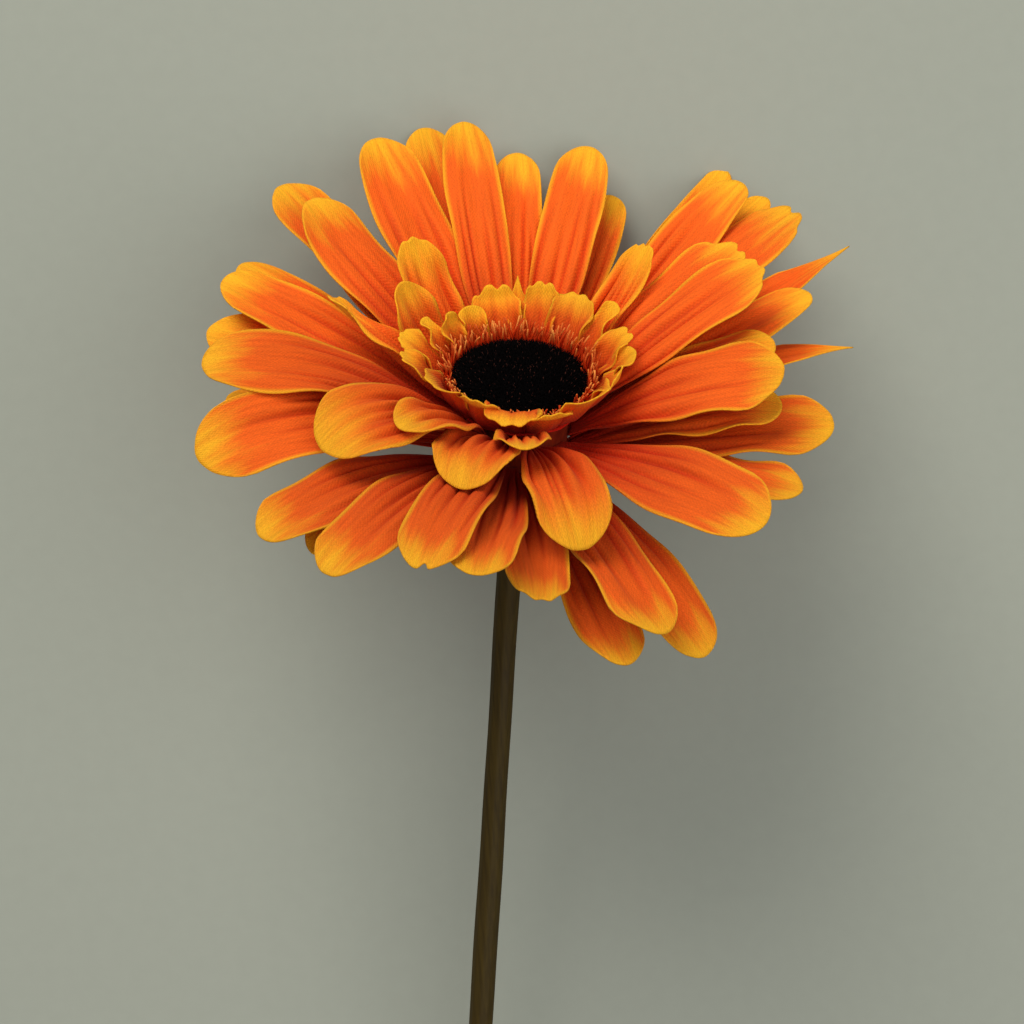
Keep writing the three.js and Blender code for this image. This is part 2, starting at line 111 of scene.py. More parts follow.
def smoothstep(value: Array, low: float, high: float) -> Array:
    """Rises smoothly from 0 at low to 1 at high.

    Args:
        value: Where to read the curve.
        low: Where it starts to rise.
        high: Where it reaches 1.

    Returns:
        The curve's height at each value.
    """
    share = np.clip((value - low) / (high - low), 0.0, 1.0)
    return share * share * (3.0 - 2.0 * share)


def spline(knots: Array, values: Array, at: Array) -> Array:
    """Draws a smooth curve through values and reads it.

    Args:
        knots: Rising places of the values, n of them.
        values: Values at the knots, n by anything.
        at: Places to read.

    Returns:
        The curve at each place, len(at) by anything.
    """
    slopes = np.empty_like(values)
    steps = np.diff(knots).reshape((-1,) + (1,) * (values.ndim - 1))
    secants = np.diff(values, axis=0) / steps
    slopes[0], slopes[-1] = secants[0], secants[-1]
    slopes[1:-1] = (secants[:-1] * steps[1:] + secants[1:] * steps[:-1]) / (steps[1:] + steps[:-1])
    left = np.clip(np.searchsorted(knots, at, side="right") - 1, 0, len(knots) - 2)
    width = knots[left + 1] - knots[left]
    share = (at - knots[left]) / width
    shape = (-1,) + (1,) * (values.ndim - 1)
    t, h = share.reshape(shape), width.reshape(shape)
    start = (2 * t**3 - 3 * t**2 + 1) * values[left] + (t**3 - 2 * t**2 + t) * h * slopes[left]
    end = (3 * t**2 - 2 * t**3) * values[left + 1] + (t**3 - t**2) * h * slopes[left + 1]
    return start + end


def unit(vectors: Array) -> Array:
    """Scales vectors to length 1 along their last axis."""
    return vectors / np.maximum(np.linalg.norm(vectors, axis=-1, keepdims=True), TINY)


def run_length(line: Array) -> Array:
    """Distance of each point of a line from its first one, along the line."""
    return np.concatenate(([0.0], np.cumsum(np.linalg.norm(np.diff(line, axis=0), axis=1))))


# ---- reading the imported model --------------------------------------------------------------


@dataclass
class Solid:
    """A CAD node's surface with its doubled vertices merged.

    Attributes:
        points: Vertices, n by 3.
        links: The neighbours of each vertex.
    """

    MERGE_DISTANCE = 0.001 * MM  # vertices nearer than this are one

    points: Array
    links: list[set[int]]

    @classmethod
    def of(cls, node: bpy.types.Object) -> "Solid":
        """Reads a CAD node.

        Args:
            node: The node's object.

        Returns:
            Its merged surface.
        """
        mesh = node.data
        raw = np.array([vertex.co for vertex in mesh.vertices], float)
        cells = np.round(raw / cls.MERGE_DISTANCE).astype(np.int64)
        _, first, where = np.unique(cells, axis=0, return_index=True, return_inverse=True)
        where = where.reshape(-1)
        links: list[set[int]] = [set() for _ in first]
        for polygon in mesh.polygons:
            corners = [int(where[index]) for index in polygon.vertices]
            for one, other in zip(corners, corners[1:] + corners[:1]):
                if one != other:
                    links[one].add(other)
                    links[other].add(one)
        return cls(raw[first], links)

    def middle_sheet(self) -> "Solid":
        """Merges each vertex of a thin sheet with the one across its thickness.

        Returns:
            The sheet's middle surface.
        """
        tree = KDTree(len(self.points))
        for index, point in enumerate(self.points):
            tree.insert(point, index)
        tree.balance()
        partner = [
            next(found for _, found, _ in tree.find_n(point, 2) if found != index)
            for index, point in enumerate(self.points)
        ]
        pairs = sorted({tuple(sorted((index, other))) for index, other in enumerate(partner)})
        number = {index: i for i, pair in enumerate(pairs) for index in pair}
        points = np.array([(self.points[a] + self.points[b]) / 2 for a, b in pairs])
        links: list[set[int]] = [set() for _ in pairs]
        for index, others in enumerate(self.links):
            links[number[index]] |= {number[other] for other in others} - {number[index]}
        return Solid(points, links)

    def layers(self, first: Sequence[int]) -> list[list[int]]:
        """Sorts the vertices by how many edges they lie from the first ones.

        Args:
            first: The vertices of the first layer.

        Returns:
            The layers, nearest first.
        """
        layers = [sorted(first)]
        seen = set(first)
        while True:
            ahead = {other for index in layers[-1] for other in self.links[index]} - seen
            if not ahead:
                return layers
            layers.append(sorted(ahead))
            seen |= ahead

    def chain(self, layer: Sequence[int]) -> list[int]:
        """Orders one layer of a sheet from one of its ends to the other.

        Args:
            layer: The layer's vertices.

        Returns:
            The same vertices, in order.
        """
        inside = set(layer)
        start = min(layer, key=lambda index: len(self.links[index] & inside))
        order = [start]
        while len(order) < len(layer):
            ahead = (self.links[order[-1]] & inside) - set(order)
            order.append(min(ahead))
        return order


@dataclass
class Head:
    """The flower head's own frame: its middle, the way it faces, and its +X and +Y.

    Attributes:
        origin: The disc's middle.
        face: The way the face looks.
        right: The head's +X.
        up: The head's +Y.
    """

    DISC_FOOT = 3.4 * MM  # from the head's origin down to the disc's underside

    origin: Array
    face: Array
    right: Array
    up: Array

    @classmethod
    def of(cls, nodes: dict[str, bpy.types.Object]) -> "Head":
        """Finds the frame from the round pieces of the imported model.

        Args:
            nodes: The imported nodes.

        Returns:
            The head's frame.
        """
        ring = Solid.of(nodes["fringe"]).points
        disc = Solid.of(nodes["disc"]).points
        calyx = Solid.of(nodes["calyx"]).points
        _, axes = np.linalg.eigh(np.cov((ring - ring.mean(0)).T))
        face = axes[:, 0]
        if face @ (ring.mean(0) - calyx.mean(0)) < 0:
            face = -face
        foot = (disc @ face).min()
        centre = ring.mean(0)
        origin = centre + face * (foot + cls.DISC_FOOT - centre @ face)
        right = unit(np.array((1.0, 0.0, 0.0)) - face * face[0])
        return cls(origin, face, right, np.cross(face, right))

    def outward(self, heading: float | Array) -> Array:
        """The direction away from the axis at a heading, in radians from the head's +X."""
        heading = np.asarray(heading)[..., None]
        return np.cos(heading) * self.right + np.sin(heading) * self.up

    def place(self, radius: float | Array, heading: float | Array, height: float | Array) -> Array:
        """Turns a radius, a heading in radians and a height into places.

        Args:
            radius: Distance from the axis.
            heading: Angle from the head's +X.
            height: Height above the head's origin.

        Returns:
            The places, in the object's frame.
        """
        radius, height = np.asarray(radius)[..., None], np.asarray(height)[..., None]
        return self.origin + radius * self.outward(heading) + height * self.face

    def from_axis(self, points: Array) -> Array:
        """How far points are from the head's axis."""
        away = points - self.origin
        return np.linalg.norm(away - np.outer(away @ self.face, self.face), axis=1)


# ---- modelling -----------------------------------------------------------------------------


def mark(mesh: bpy.types.Mesh, name: str, values: Array) -> None:
    """Gives each vertex a named value that materials can read.

    Args:
        mesh: The mesh.
        name: The value's name.
        values: One value for each vertex.
    """
    layer = mesh.attributes.new(name, "FLOAT", "POINT")
    layer.data.foreach_set("value", values.ravel().astype(np.float32))


@dataclass
class Grid:
    """A grid of places with what each one carries to the materials.

    Attributes:
        places: Rows by columns by 3.
        flat: The same points on the flat cloth, rows by columns by 2.
        marks: Named values at each point, rows by columns.
    """

    places: Array
    flat: Array
    marks: dict[str, Array] = field(default_factory=dict)

    def build(self, name: str) -> bpy.types.Object:
        """Adds a primitive grid and moves its points to their places.

        Args:
            name: The new piece's name.

        Returns:
            The new piece, with smooth faces.
        """
        rows, columns = self.places.shape[:2]
        clear_selection()
        bpy.ops.mesh.primitive_grid_add(x_subdivisions=rows - 1, y_subdivisions=columns - 1, size=2)
        piece = bpy.context.object
        piece.name = piece.data.name = name
        mesh = piece.data
        start = np.empty(len(mesh.vertices) * 3)
        mesh.vertices.foreach_get("co", start)
        start = start.reshape(-1, 3)
        row = np.rint((start[:, 0] + 1) / 2 * (rows - 1)).astype(int)
        column = np.rint((start[:, 1] + 1) / 2 * (columns - 1)).astype(int)
        mesh.vertices.foreach_set("co", self.places[row, column].ravel())
        for label, values in self.marks.items():
            mark(mesh, label, values[row, column])
        corner = np.empty(len(mesh.loops), np.int32)
        mesh.loops.foreach_get("vertex_index", corner)
        flat = self.flat[row[corner], column[corner]].astype(np.float32)
        mesh.uv_layers.active.data.foreach_set("uv", flat.ravel())
        bpy.ops.object.shade_smooth()
        mesh.update()
        return piece


def weld(piece: bpy.types.Object, distance: float, outwards: bool = True) -> None:
    """Merges the doubled points of a seam.

    Args:
        piece: The piece.
        distance: Points nearer than this are merged.
        outwards: Whether its faces are turned outwards too.
    """
    pick(piece)
    bpy.ops.object.mode_set(mode="EDIT")
    bpy.ops.mesh.select_all(action="SELECT")
    bpy.ops.mesh.remove_doubles(threshold=distance)
    if outwards:
        bpy.ops.mesh.normals_make_consistent(inside=False)
    bpy.ops.object.mode_set(mode="OBJECT")


def thicken(piece: bpy.types.Object, thickness: float, side: float = 0.0) -> None:
    """Gives a sheet its thickness.

    Args:
        piece: The sheet.
        thickness: Its thickness.
        side: 0 for half to each side, -1 for all of it inside.
    """
    wall = piece.modifiers.new("thickness", "SOLIDIFY")
    wall.thickness = thickness
    wall.offset = side
    wall.use_even_offset = False
    apply_modifiers(piece)


def joined(name: str, pieces: Sequence[bpy.types.Object]) -> bpy.types.Object:
    """Joins objects into one.

    Args:
        name: The joined piece's name.
        pieces: The objects, which all have the same attributes.

    Returns:
        The joined piece.
    """
    clear_selection()
    for piece in pieces:
        piece.select_set(True)
    bpy.context.view_layer.objects.active = pieces[0]
    bpy.ops.object.join()
    whole = bpy.context.object
    whole.name = whole.data.name = name
    return whole


def settle(piece: bpy.types.Object, finish: bpy.types.Material, slot: str, *nodes: str) -> None:
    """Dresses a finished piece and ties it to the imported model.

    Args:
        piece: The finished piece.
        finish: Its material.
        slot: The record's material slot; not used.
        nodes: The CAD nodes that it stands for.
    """
    piece.data.materials.clear()
    piece.data.materials.append(finish)
    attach(piece, BODY)
    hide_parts(*nodes)
    LOG.info("%s: %d faces", piece.name, len(piece.data.polygons))


# ---- materials -----------------------------------------------------------------------------


class Graph:
    """A shader node tree with short ways to add what the finishes need."""

    # a Mix node's colour sockets, which share their names with its other kinds
    FIRST_COLOUR, SECOND_COLOUR, MIXED_COLOUR = 6, 7, 2

    def __init__(self, tree: bpy.types.NodeTree) -> None:
        """Wraps a node tree.

        Args:
            tree: The tree that the nodes go into.
        """
        self.tree = tree

    def add(self, kind: str, **settings: object) -> bpy.types.Node:
        """Adds a node.

        Args:
            kind: The node's type name.
            settings: Properties to set on it.

        Returns:
            The new node.
        """
        node = self.tree.nodes.new(kind)
        for key, setting in settings.items():
            setattr(node, key, setting)
        return node

    def put(self, value: object, socket: Socket) -> None:
        """Links an output to an input, or sets the input to a constant.

        Args:
            value: The output, or the constant.
            socket: The input.
        """
        if isinstance(value, Socket):
            self.tree.links.new(value, socket)
        else:
            socket.default_value = value

    def math(self, operation: str, *values: Value) -> Socket:
        """Adds a Math node.

        Args:
            operation: What it works out.
            values: Its inputs, in order.

        Returns:
            Its output.
        """
        node = self.add("ShaderNodeMath", operation=operation)
        for value, socket in zip(values, node.inputs):
            self.put(value, socket)
        return node.outputs[0]

    def ramp(self, value: Value, low: Value, high: Value) -> Socket:
        """Adds a smooth rise from 0 to 1.

        Args:
            value: What is read.
            low: Where the rise starts.
            high: Where it reaches 1.

        Returns:
            The rise's height.
        """
        node = self.add("ShaderNodeMapRange", interpolation_type="SMOOTHSTEP")
        for socket, given in zip(node.inputs, (value, low, high)):
            self.put(given, socket)
        return node.outputs[0]

    def mix(self, share: Value, one: object, other: object, how: str = "MIX") -> Socket:
        """Mixes two colours.

        Args:
            share: How much of the other colour there is.
            one: The colour at 0.
            other: The colour at 1.
            how: The blend type.

        Returns:
            The mixed colour.
        """
        node = self.add("ShaderNodeMix", data_type="RGBA", blend_type=how)
        self.put(share, node.inputs["Factor"])
        self.put(one, node.inputs[self.FIRST_COLOUR])
        self.put(other, node.inputs[self.SECOND_COLOUR])
        return node.outputs[self.MIXED_COLOUR]

    def dimmed(self, colour: Socket, light: Socket) -> Socket:
        """Multiplies a colour by a value.

        Args:
            colour: The colour.
            light: The value.

        Returns:
            The dimmed colour.
        """
        grey = self.add("ShaderNodeCombineColor")
        for socket in grey.inputs[:3]:
            self.put(light, socket)
        return self.mix(1.0, colour, grey.outputs[0], "MULTIPLY")

    def noise(self, vector: Socket, scale: float, detail: float = 2.0) -> Socket:
        """Adds noise.

        Args:
            vector: Where it is read.
            scale: How dense it is.
            detail: How many finer layers it has.

        Returns:
            A value from 0 to 1.
        """
        node = self.add("ShaderNodeTexNoise")
        self.put(vector, node.inputs["Vector"])
        self.put(scale, node.inputs["Scale"])
        self.put(detail, node.inputs["Detail"])
        return node.outputs[0]

    def stretched(self, vector: Socket, scale: Colour) -> Socket:
        """Scales a vector by its own amount along each axis.

        Args:
            vector: The vector.
            scale: The three amounts.

        Returns:
            The scaled vector.
        """
        node = self.add("ShaderNodeMapping")
        self.put(vector, node.inputs["Vector"])
        self.put(scale, node.inputs["Scale"])
        return node.outputs[0]

    def bump(self, height: Socket, strength: float, distance: float) -> Socket:
        """Turns a height into a normal.

        Args:
            height: The surface's height, from 0 to 1.
            strength: How strongly it shows.
            distance: How high 1 is.

        Returns:
            The normal.
        """
        node = self.add("ShaderNodeBump")
        self.put(height, node.inputs["Height"])
        self.put(strength, node.inputs["Strength"])
        self.put(distance, node.inputs["Distance"])
        return node.outputs[0]

    def attribute(self, name: str) -> Socket:
        """A named value that the mesh carries."""
        return self.add("ShaderNodeAttribute", attribute_name=name).outputs["Fac"]

    def place(self) -> Socket:
        """The place on the object."""
        return self.add("ShaderNodeTexCoord").outputs["Object"]


def opaque(colour: Colour) -> tuple[float, ...]:
    """A colour with its alpha."""
    return (*colour, 1.0)


def new_material(name: str) -> tuple[bpy.types.Material, Graph, dict[str, Socket]]:
    """Starts a material.

    Args:
        name: Its name.

    Returns:
        The material, its graph and its Principled shader's inputs.
    """
    material = bpy.data.materials.new(name)
    material.use_nodes = True
    return material, Graph(material.node_tree), material.node_tree.nodes["Principled BSDF"].inputs


@dataclass(frozen=True)
class Port:
    """A named input or output of a shader node group.

    Attributes:
        name: Its name.
        kind: Its socket's kind.
        way: INPUT or OUTPUT.
        value: What an input is when nothing is put in.
    """

    name: str
    kind: str
    way: str
    value: object = None


def new_group(
    name: str, ports: Sequence[Port], fill: Callable[[Graph, dict, dict], None]
) -> bpy.types.NodeTree:
    """Builds a shader node group.

    Args:
        name: The group's name.
        ports: Its inputs and outputs.
        fill: Called with the graph, the inputs and the outputs, both by name.

    Returns:
        The group.
    """
    group = bpy.data.node_groups.new(name, "ShaderNodeTree")
    for port in ports:
        kind = f"NodeSocket{port.kind}"
        socket = group.interface.new_socket(port.name, in_out=port.way, socket_type=kind)
        if port.value is not None:
            socket.default_value = port.value
    graph = Graph(group)
    given = {socket.name: socket for socket in graph.add("NodeGroupInput").outputs if socket.name}
    result = {socket.name: socket for socket in graph.add("NodeGroupOutput").inputs if socket.name}
    fill(graph, given, result)
    return group


class Effects:
    """The shader node groups that several finishes share."""

    DRIFT = (60.0, 320.0, 1.0)  # turns a metre of the dye's slow changes, along and across
    STREAK = (120.0, 1500.0, 1.0)  # the same of its fine streaks

    def __init__(self) -> None:
        """Builds the groups."""
        self.weave = new_group(
            "plain_weave",
            (
                Port("Cloth", "Vector", "INPUT"),
                Port("Pitch", "Float", "INPUT", 0.00035),
                Port("Height", "Float", "OUTPUT"),
            ),
            self._fill_weave,
        )
        self.dye_and_shade = new_group(
            "petal_dye_and_shade",
            (
                Port("Along", "Float", "INPUT", 0.5),
                Port("Rim", "Float", "INPUT", 0.005),
                Port("Crease Shade", "Float", "INPUT", 0.0),
                Port("Tone And Shade", "Float", "INPUT", 0.5),
                Port("Cloth", "Vector", "INPUT"),
                Port("Root Colour", "Color", "INPUT"),
                Port("Body Colour", "Color", "INPUT"),
                Port("Tip Colour", "Color", "INPUT"),
                Port("Root End", "Float", "INPUT", 0.4),
                Port("Tip Start", "Float", "INPUT", 0.8),
                Port("Rim Width", "Float", "INPUT", 0.001),
                Port("Colour", "Color", "OUTPUT"),
            ),
            self._fill_dye_and_shade,
        )

    @staticmethod
    def _fill_weave(graph: Graph, given: dict, result: dict) -> None:
        """Crossing threads, each over and under the next.

        Args:
            graph: The group's graph.
            given: Its inputs by name.
            result: Its outputs by name.
        """
        split = graph.add("ShaderNodeSeparateXYZ")
        graph.put(given["Cloth"], split.inputs[0])
        waves = []
        for axis in (0, 1):
            turns = graph.math("DIVIDE", split.outputs[axis], given["Pitch"])
            waves.append(graph.math("SINE", graph.math("MULTIPLY", turns, math.pi)))
        crossing = graph.math("MULTIPLY", *waves)
        graph.put(graph.math("MULTIPLY_ADD", crossing, 0.5, 0.5), result["Height"])

    @staticmethod
    def _fill_dye_and_shade(graph: Graph, given: dict, result: dict) -> None:
        """Dye that runs from the root over the body to the tip and the edge, with painted shade in the
        creases and on cloth of low tone.

        Args:
            graph: The group's graph.
            given: Its inputs by name.
            result: Its outputs by name.
        """
        drift = graph.noise(graph.stretched(given["Cloth"], Effects.DRIFT), 1.0, 3.0)
        shift = graph.math("MULTIPLY_ADD", drift, 0.3, -0.15)
        place = graph.math("ADD", given["Along"], shift)
        # partly painted shade, partly random dye: the dark red root reaches further where the tone is low
        shade_and_tone_dip = graph.math("SUBTRACT", 1.0, given["Tone And Shade"])
        reach = graph.math("MULTIPLY_ADD", shade_and_tone_dip, 0.4, given["Root End"])
        rooted = graph.ramp(place, 0.0, reach)
        colour = graph.mix(rooted, given["Root Colour"], given["Body Colour"])
        tipped = graph.ramp(place, given["Tip Start"], 1.02)
        wide = graph.math("MULTIPLY", given["Rim Width"], graph.math("ADD", given["Along"], 0.35))
        edged = graph.math("SUBTRACT", 1.0, graph.ramp(given["Rim"], 0.0, wide))
        edged = graph.math("MULTIPLY", edged, graph.ramp(given["Along"], 0.25, 0.75))
        both = graph.math("MAXIMUM", tipped, graph.math("MULTIPLY", edged, 0.85))
        colour = graph.mix(both, colour, given["Tip Colour"])
        # painted shade: the creases take the root's dark red
        deep = graph.math("MULTIPLY", given["Crease Shade"], 0.6)
        colour = graph.mix(deep, colour, given["Root Colour"])
        streak = graph.noise(graph.stretched(given["Cloth"], Effects.STREAK), 1.0, 2.0)
        light = graph.math("MULTIPLY_ADD", streak, 0.5, 0.72)
        # painted shade: cloth of low tone, on the head's lower side, is dimmed
        light = graph.math("MULTIPLY", light, graph.math("MULTIPLY_ADD", given["Tone And Shade"], 0.26, 0.8))
        graph.put(graph.dimmed(colour, light), result["Colour"])


@dataclass(frozen=True)
class ClothFinish:
    """Woven, dyed cloth, with painted shade in its creases, between its threads and on cloth of low tone.

    Attributes:
        name: The material's name.
        root: Colour at the root, also painted into the creases as shade.
        body: Colour of the middle.
        tip: Colour of the tip and the edge.
        root_end: Share of the length where the root's colour has gone.
        tip_start: Share of the length where the tip's colour starts.
        rim_width: Width of the edge's colour.
        pitch: Distance between threads.
    """

    name: str
    root: Colour
    body: Colour
    tip: Colour
    root_end: float
    tip_start: float
    rim_width: float
    pitch: float = 0.36 * MM

    SLUB = (900.0, 2600.0, 1.0)  # turns a metre of uneven threads, along and across
    GRAIN = (2200.0, 2200.0, 1.0)  # the same of the threads' fine mottle

    def make(self, effects: Effects) -> bpy.types.Material:
        """Builds the material.

        Args:
            effects: The shared node groups.

        Returns:
            The material.
        """
        material, graph, inputs = new_material(self.name)
        cloth = graph.add("ShaderNodeUVMap", uv_map="UVMap").outputs[0]
        dye_and_shade = graph.add("ShaderNodeGroup", node_tree=effects.dye_and_shade)
        for name, value in (
            ("Along", graph.attribute("along")),
            ("Rim", graph.attribute("rim")),
            ("Crease Shade", graph.attribute("groove")),
            ("Tone And Shade", graph.attribute("tone")),
            ("Cloth", cloth),
            ("Root Colour", opaque(self.root)),
            ("Body Colour", opaque(self.body)),
            ("Tip Colour", opaque(self.tip)),
            ("Root End", self.root_end),
            ("Tip Start", self.tip_start),
            ("Rim Width", self.rim_width),
        ):
            graph.put(value, dye_and_shade.inputs[name])
        weave = graph.add("ShaderNodeGroup", node_tree=effects.weave)
        graph.put(cloth, weave.inputs["Cloth"])
        graph.put(self.pitch, weave.inputs["Pitch"])
        slub = graph.noise(graph.stretched(cloth, self.SLUB), 1.0, 2.0)
        height = graph.math("ADD", weave.outputs["Height"], graph.math("MULTIPLY", slub, 1.4))
        grain = graph.noise(graph.stretched(cloth, self.GRAIN), 1.0, 1.0)
        # painted shade between the threads: the weave's low places are darker; the grain is the threads'
        # own mottle
        weave_shade_and_grain = graph.math("MULTIPLY_ADD", weave.outputs["Height"], 0.1, 0.72)
        weave_shade_and_grain = graph.math("MULTIPLY_ADD", grain, 0.46, weave_shade_and_grain)
        graph.put(graph.dimmed(dye_and_shade.outputs["Colour"], weave_shade_and_grain), inputs["Base Color"])
        graph.put(graph.bump(height, 0.5, 0.12 * MM), inputs["Normal"])
        inputs["Roughness"].default_value = 0.72
        inputs["Specular IOR Level"].default_value = 0.12
        inputs["Sheen Weight"].default_value = 0.05
        inputs["Sheen Roughness"].default_value = 0.5
        inputs["Sheen Tint"].default_value = opaque((1.0, 0.6, 0.35))
        return material


@dataclass(frozen=True)
class ThreadFinish:
    """Fibres whose colour changes from root to tip.

    Attributes:
        name: The material's name.
        root: Colour at the root.
        tip: Colour at the tip.
        tip_start: Share of the length where the tip's colour starts.
        roughness: The surface's roughness.
    """

    name: str
    root: Colour
    tip: Colour
    tip_start: float
    roughness: float = 0.8

    SPECKS = 2500.0  # how dense the specks of uneven colour are

    def make(self) -> bpy.types.Material:
        """Builds the material.

        Returns:
            The material.
        """
        material, graph, inputs = new_material(self.name)
        speck = graph.noise(graph.place(), self.SPECKS, 2.0)
        along = graph.math("ADD", graph.attribute("along"), graph.math("MULTIPLY_ADD", speck, 0.4, -0.2))
        share = graph.math("MULTIPLY", graph.ramp(along, self.tip_start, 1.0), graph.attribute("tone"))
        graph.put(graph.mix(share, opaque(self.root), opaque(self.tip)), inputs["Base Color"])
        inputs["Roughness"].default_value = self.roughness
        inputs["Specular IOR Level"].default_value = 0.05
        return material


@dataclass(frozen=True)
class PlasticFinish:
    """Moulded plastic or drawn wire, with fine lines and a slightly uneven colour.

    Attributes:
        name: The material's name.
        colour: Main colour.
        shade: Colour of its darker patches.
        roughness: Mean roughness.
        lines: How dense its lines are along X, Y and Z, per metre.
        metallic: 1 for a metal.
    """

    name: str
    colour: Colour
    shade: Colour
    roughness: float
    lines: Colour
    metallic: float = 0.0

    PATCHES = 90.0  # how dense the darker patches are

    def make(self) -> bpy.types.Material:
        """Builds the material.

        Returns:
            The material.
        """
        material, graph, inputs = new_material(self.name)
        place = graph.place()
        lines = graph.noise(graph.stretched(place, self.lines), 1.0, 4.0)
        patch = graph.noise(place, self.PATCHES, 3.0)
        blend = graph.math("MULTIPLY_ADD", lines, 0.6, graph.math("MULTIPLY", patch, 0.4))
        share = graph.ramp(blend, 0.35, 0.65)
        graph.put(graph.mix(share, opaque(self.shade), opaque(self.colour)), inputs["Base Color"])
        graph.put(graph.math("MULTIPLY_ADD", patch, 0.25, self.roughness - 0.12), inputs["Roughness"])
        graph.put(graph.bump(lines, 0.35, 0.2 * MM), inputs["Normal"])
        inputs["Specular IOR Level"].default_value = 0.15
        inputs["Metallic"].default_value = self.metallic
        return material


LONG_PETAL_CLOTH = ClothFinish(
    name="petal_cloth",
    root=(0.5, 0.009, 0.001),
    body=(0.88, 0.118, 0.007),
    tip=(0.95, 0.43, 0.014),
    root_end=0.56,
    tip_start=0.8,
    rim_width=1.3 * MM,
)
SHORT_PETAL_CLOTH = ClothFinish(
    name="short_petal_cloth",
    root=(0.6, 0.015, 0.001),
    body=(0.9, 0.135, 0.008),
    tip=(0.96, 0.43, 0.014),
    root_end=0.45,
    tip_start=0.66,
    rim_width=1.3 * MM,
)
COLLAR_CLOTH = ClothFinish(
    name="collar_cloth",
    root=(0.55, 0.007, 0.001),
    body=(0.92, 0.16, 0.006),
    tip=(0.98, 0.46, 0.014),
    # the long deep red root is partly the dye and partly painted shade on the collar's outer faces
    root_end=0.8,
    tip_start=0.6,
    rim_width=0.9 * MM,
)
FRINGE_THREAD = ThreadFinish(
    "fringe_thread", root=(0.55, 0.03, 0.003), tip=(0.95, 0.36, 0.07), tip_start=0.4
)
BLACK_PILE = ThreadFinish(
    "disc_pile", root=(0.0015, 0.0008, 0.0008), tip=(0.10, 0.03, 0.02), tip_start=0.5, roughness=0.95
)
STEM_PLASTIC = PlasticFinish(
    "stem_plastic",
    colour=(0.056, 0.034, 0.004),
    shade=(0.036, 0.021, 0.0025),
    roughness=0.6,
    lines=(1800.0, 25.0, 1800.0),
)
CALYX_PLASTIC = PlasticFinish(
    "calyx_plastic",
    colour=(0.09, 0.11, 0.03),
    shade=(0.045, 0.055, 0.016),
    roughness=0.5,
    lines=(420.0, 420.0, 420.0),
)
# the hub's dark red is partly its own moulded colour and partly painted shade, matching the shaded petal
# roots seen through the gaps
HUB_PLASTIC = PlasticFinish(
    "hub_plastic",
    colour=(0.3, 0.025, 0.004),
    shade=(0.16, 0.01, 0.002),
    roughness=0.7,
    lines=(500.0, 500.0, 500.0),
)
WIRE_STEEL = PlasticFinish(
    "wire_steel",
    colour=(0.35, 0.34, 0.32),
    shade=(0.25, 0.24, 0.23),
    roughness=0.35,
    lines=(900.0, 60.0, 900.0),
    metallic=1.0,
)


# ---- petals --------------------------------------------------------------------------------


class Tip(Enum):
    """How a petal's tip is cut."""

    ROUND = "round"
    NARROW = "narrow"
    POINTED = "pointed"
    NOTCHED = "notched"
    LOBED = "lobed"
    WAVY = "wavy"
    RAGGED = "ragged"


TIPS = {
    "back_petal_03": Tip.NARROW,
    "back_petal_04": Tip.POINTED,
    "back_petal_05": Tip.POINTED,
    "back_petal_09": Tip.WAVY,
    "middle_petal_05": Tip.NARROW,
    "middle_petal_06": Tip.LOBED,
    "middle_petal_11": Tip.NOTCHED,
    "front_petal_06": Tip.LOBED,
    "front_petal_07": Tip.WAVY,
    "short_petal_01": Tip.WAVY,
    "short_petal_03": Tip.RAGGED,
    "short_petal_09": Tip.RAGGED,
}


@dataclass(frozen=True)
class PetalStyle:
    """How the cloth of one kind of petal is pressed and cut.

    Attributes:
        creases: How many creases it has.
        depth: Depth of a crease.
        ripple: How far its edge waves.
        rows: Points along its length.
        columns: Points across it.
        thickness: Thickness of the cloth.
        round_off: Length of the round end, in half-widths.
    """

    creases: int
    depth: float
    ripple: float
    rows: int = 72
    columns: int = 41
    thickness: float = 0.24 * MM
    round_off: float = 1.4

    def end(self, across: Array, tip: Tip, slim: float, draw: np.random.Generator) -> Array:
        """Where the tip ends at each place across, as a share of the length.

        Args:
            across: Places from -1 to 1.
            tip: How the tip is cut.
            slim: Half the width as a share of the length.
            draw: The petal's own random numbers.

        Returns:
            The share of the length where the cloth ends.
        """
        phase = draw.uniform(-0.15, 0.15)
        if tip is Tip.POINTED:
            end = 1.0 - 0.22 * np.abs(across) ** 1.2
        else:
            end = 1.0 - self.round_off * slim * (1.0 - np.sqrt(np.clip(1.0 - across**2, 0.0, 1.0)))
        if tip is Tip.NOTCHED:
            end -= 0.3 * slim * np.exp(-(((across - phase - 0.25) / 0.12) ** 2))
        elif tip is Tip.LOBED:
            end -= 0.22 * slim * (0.5 + 0.5 * np.cos(2.7 * math.pi * (across + phase))) ** 2
        elif tip is Tip.WAVY:
            end -= 0.12 * slim * (0.5 + 0.5 * np.cos(3.5 * math.pi * (across + phase)))
        elif tip is Tip.RAGGED:
            end -= 0.35 * slim * np.interp(across, np.linspace(-1, 1, 12), draw.uniform(0.0, 1.0, 12))
        return end - 0.03 * slim * np.interp(across, np.linspace(-1, 1, 9), draw.uniform(0.0, 1.0, 9))


LONG_PETAL = PetalStyle(creases=4, depth=0.95 * MM, ripple=0.7 * MM)
SHORT_PETAL = PetalStyle(creases=6, depth=1.05 * MM, ripple=0.7 * MM, rows=60, columns=49)
COLLAR_PETAL = PetalStyle(
    creases=3, depth=0.4 * MM, ripple=0.7 * MM, rows=34, columns=23, thickness=0.22 * MM, round_off=0.75
)


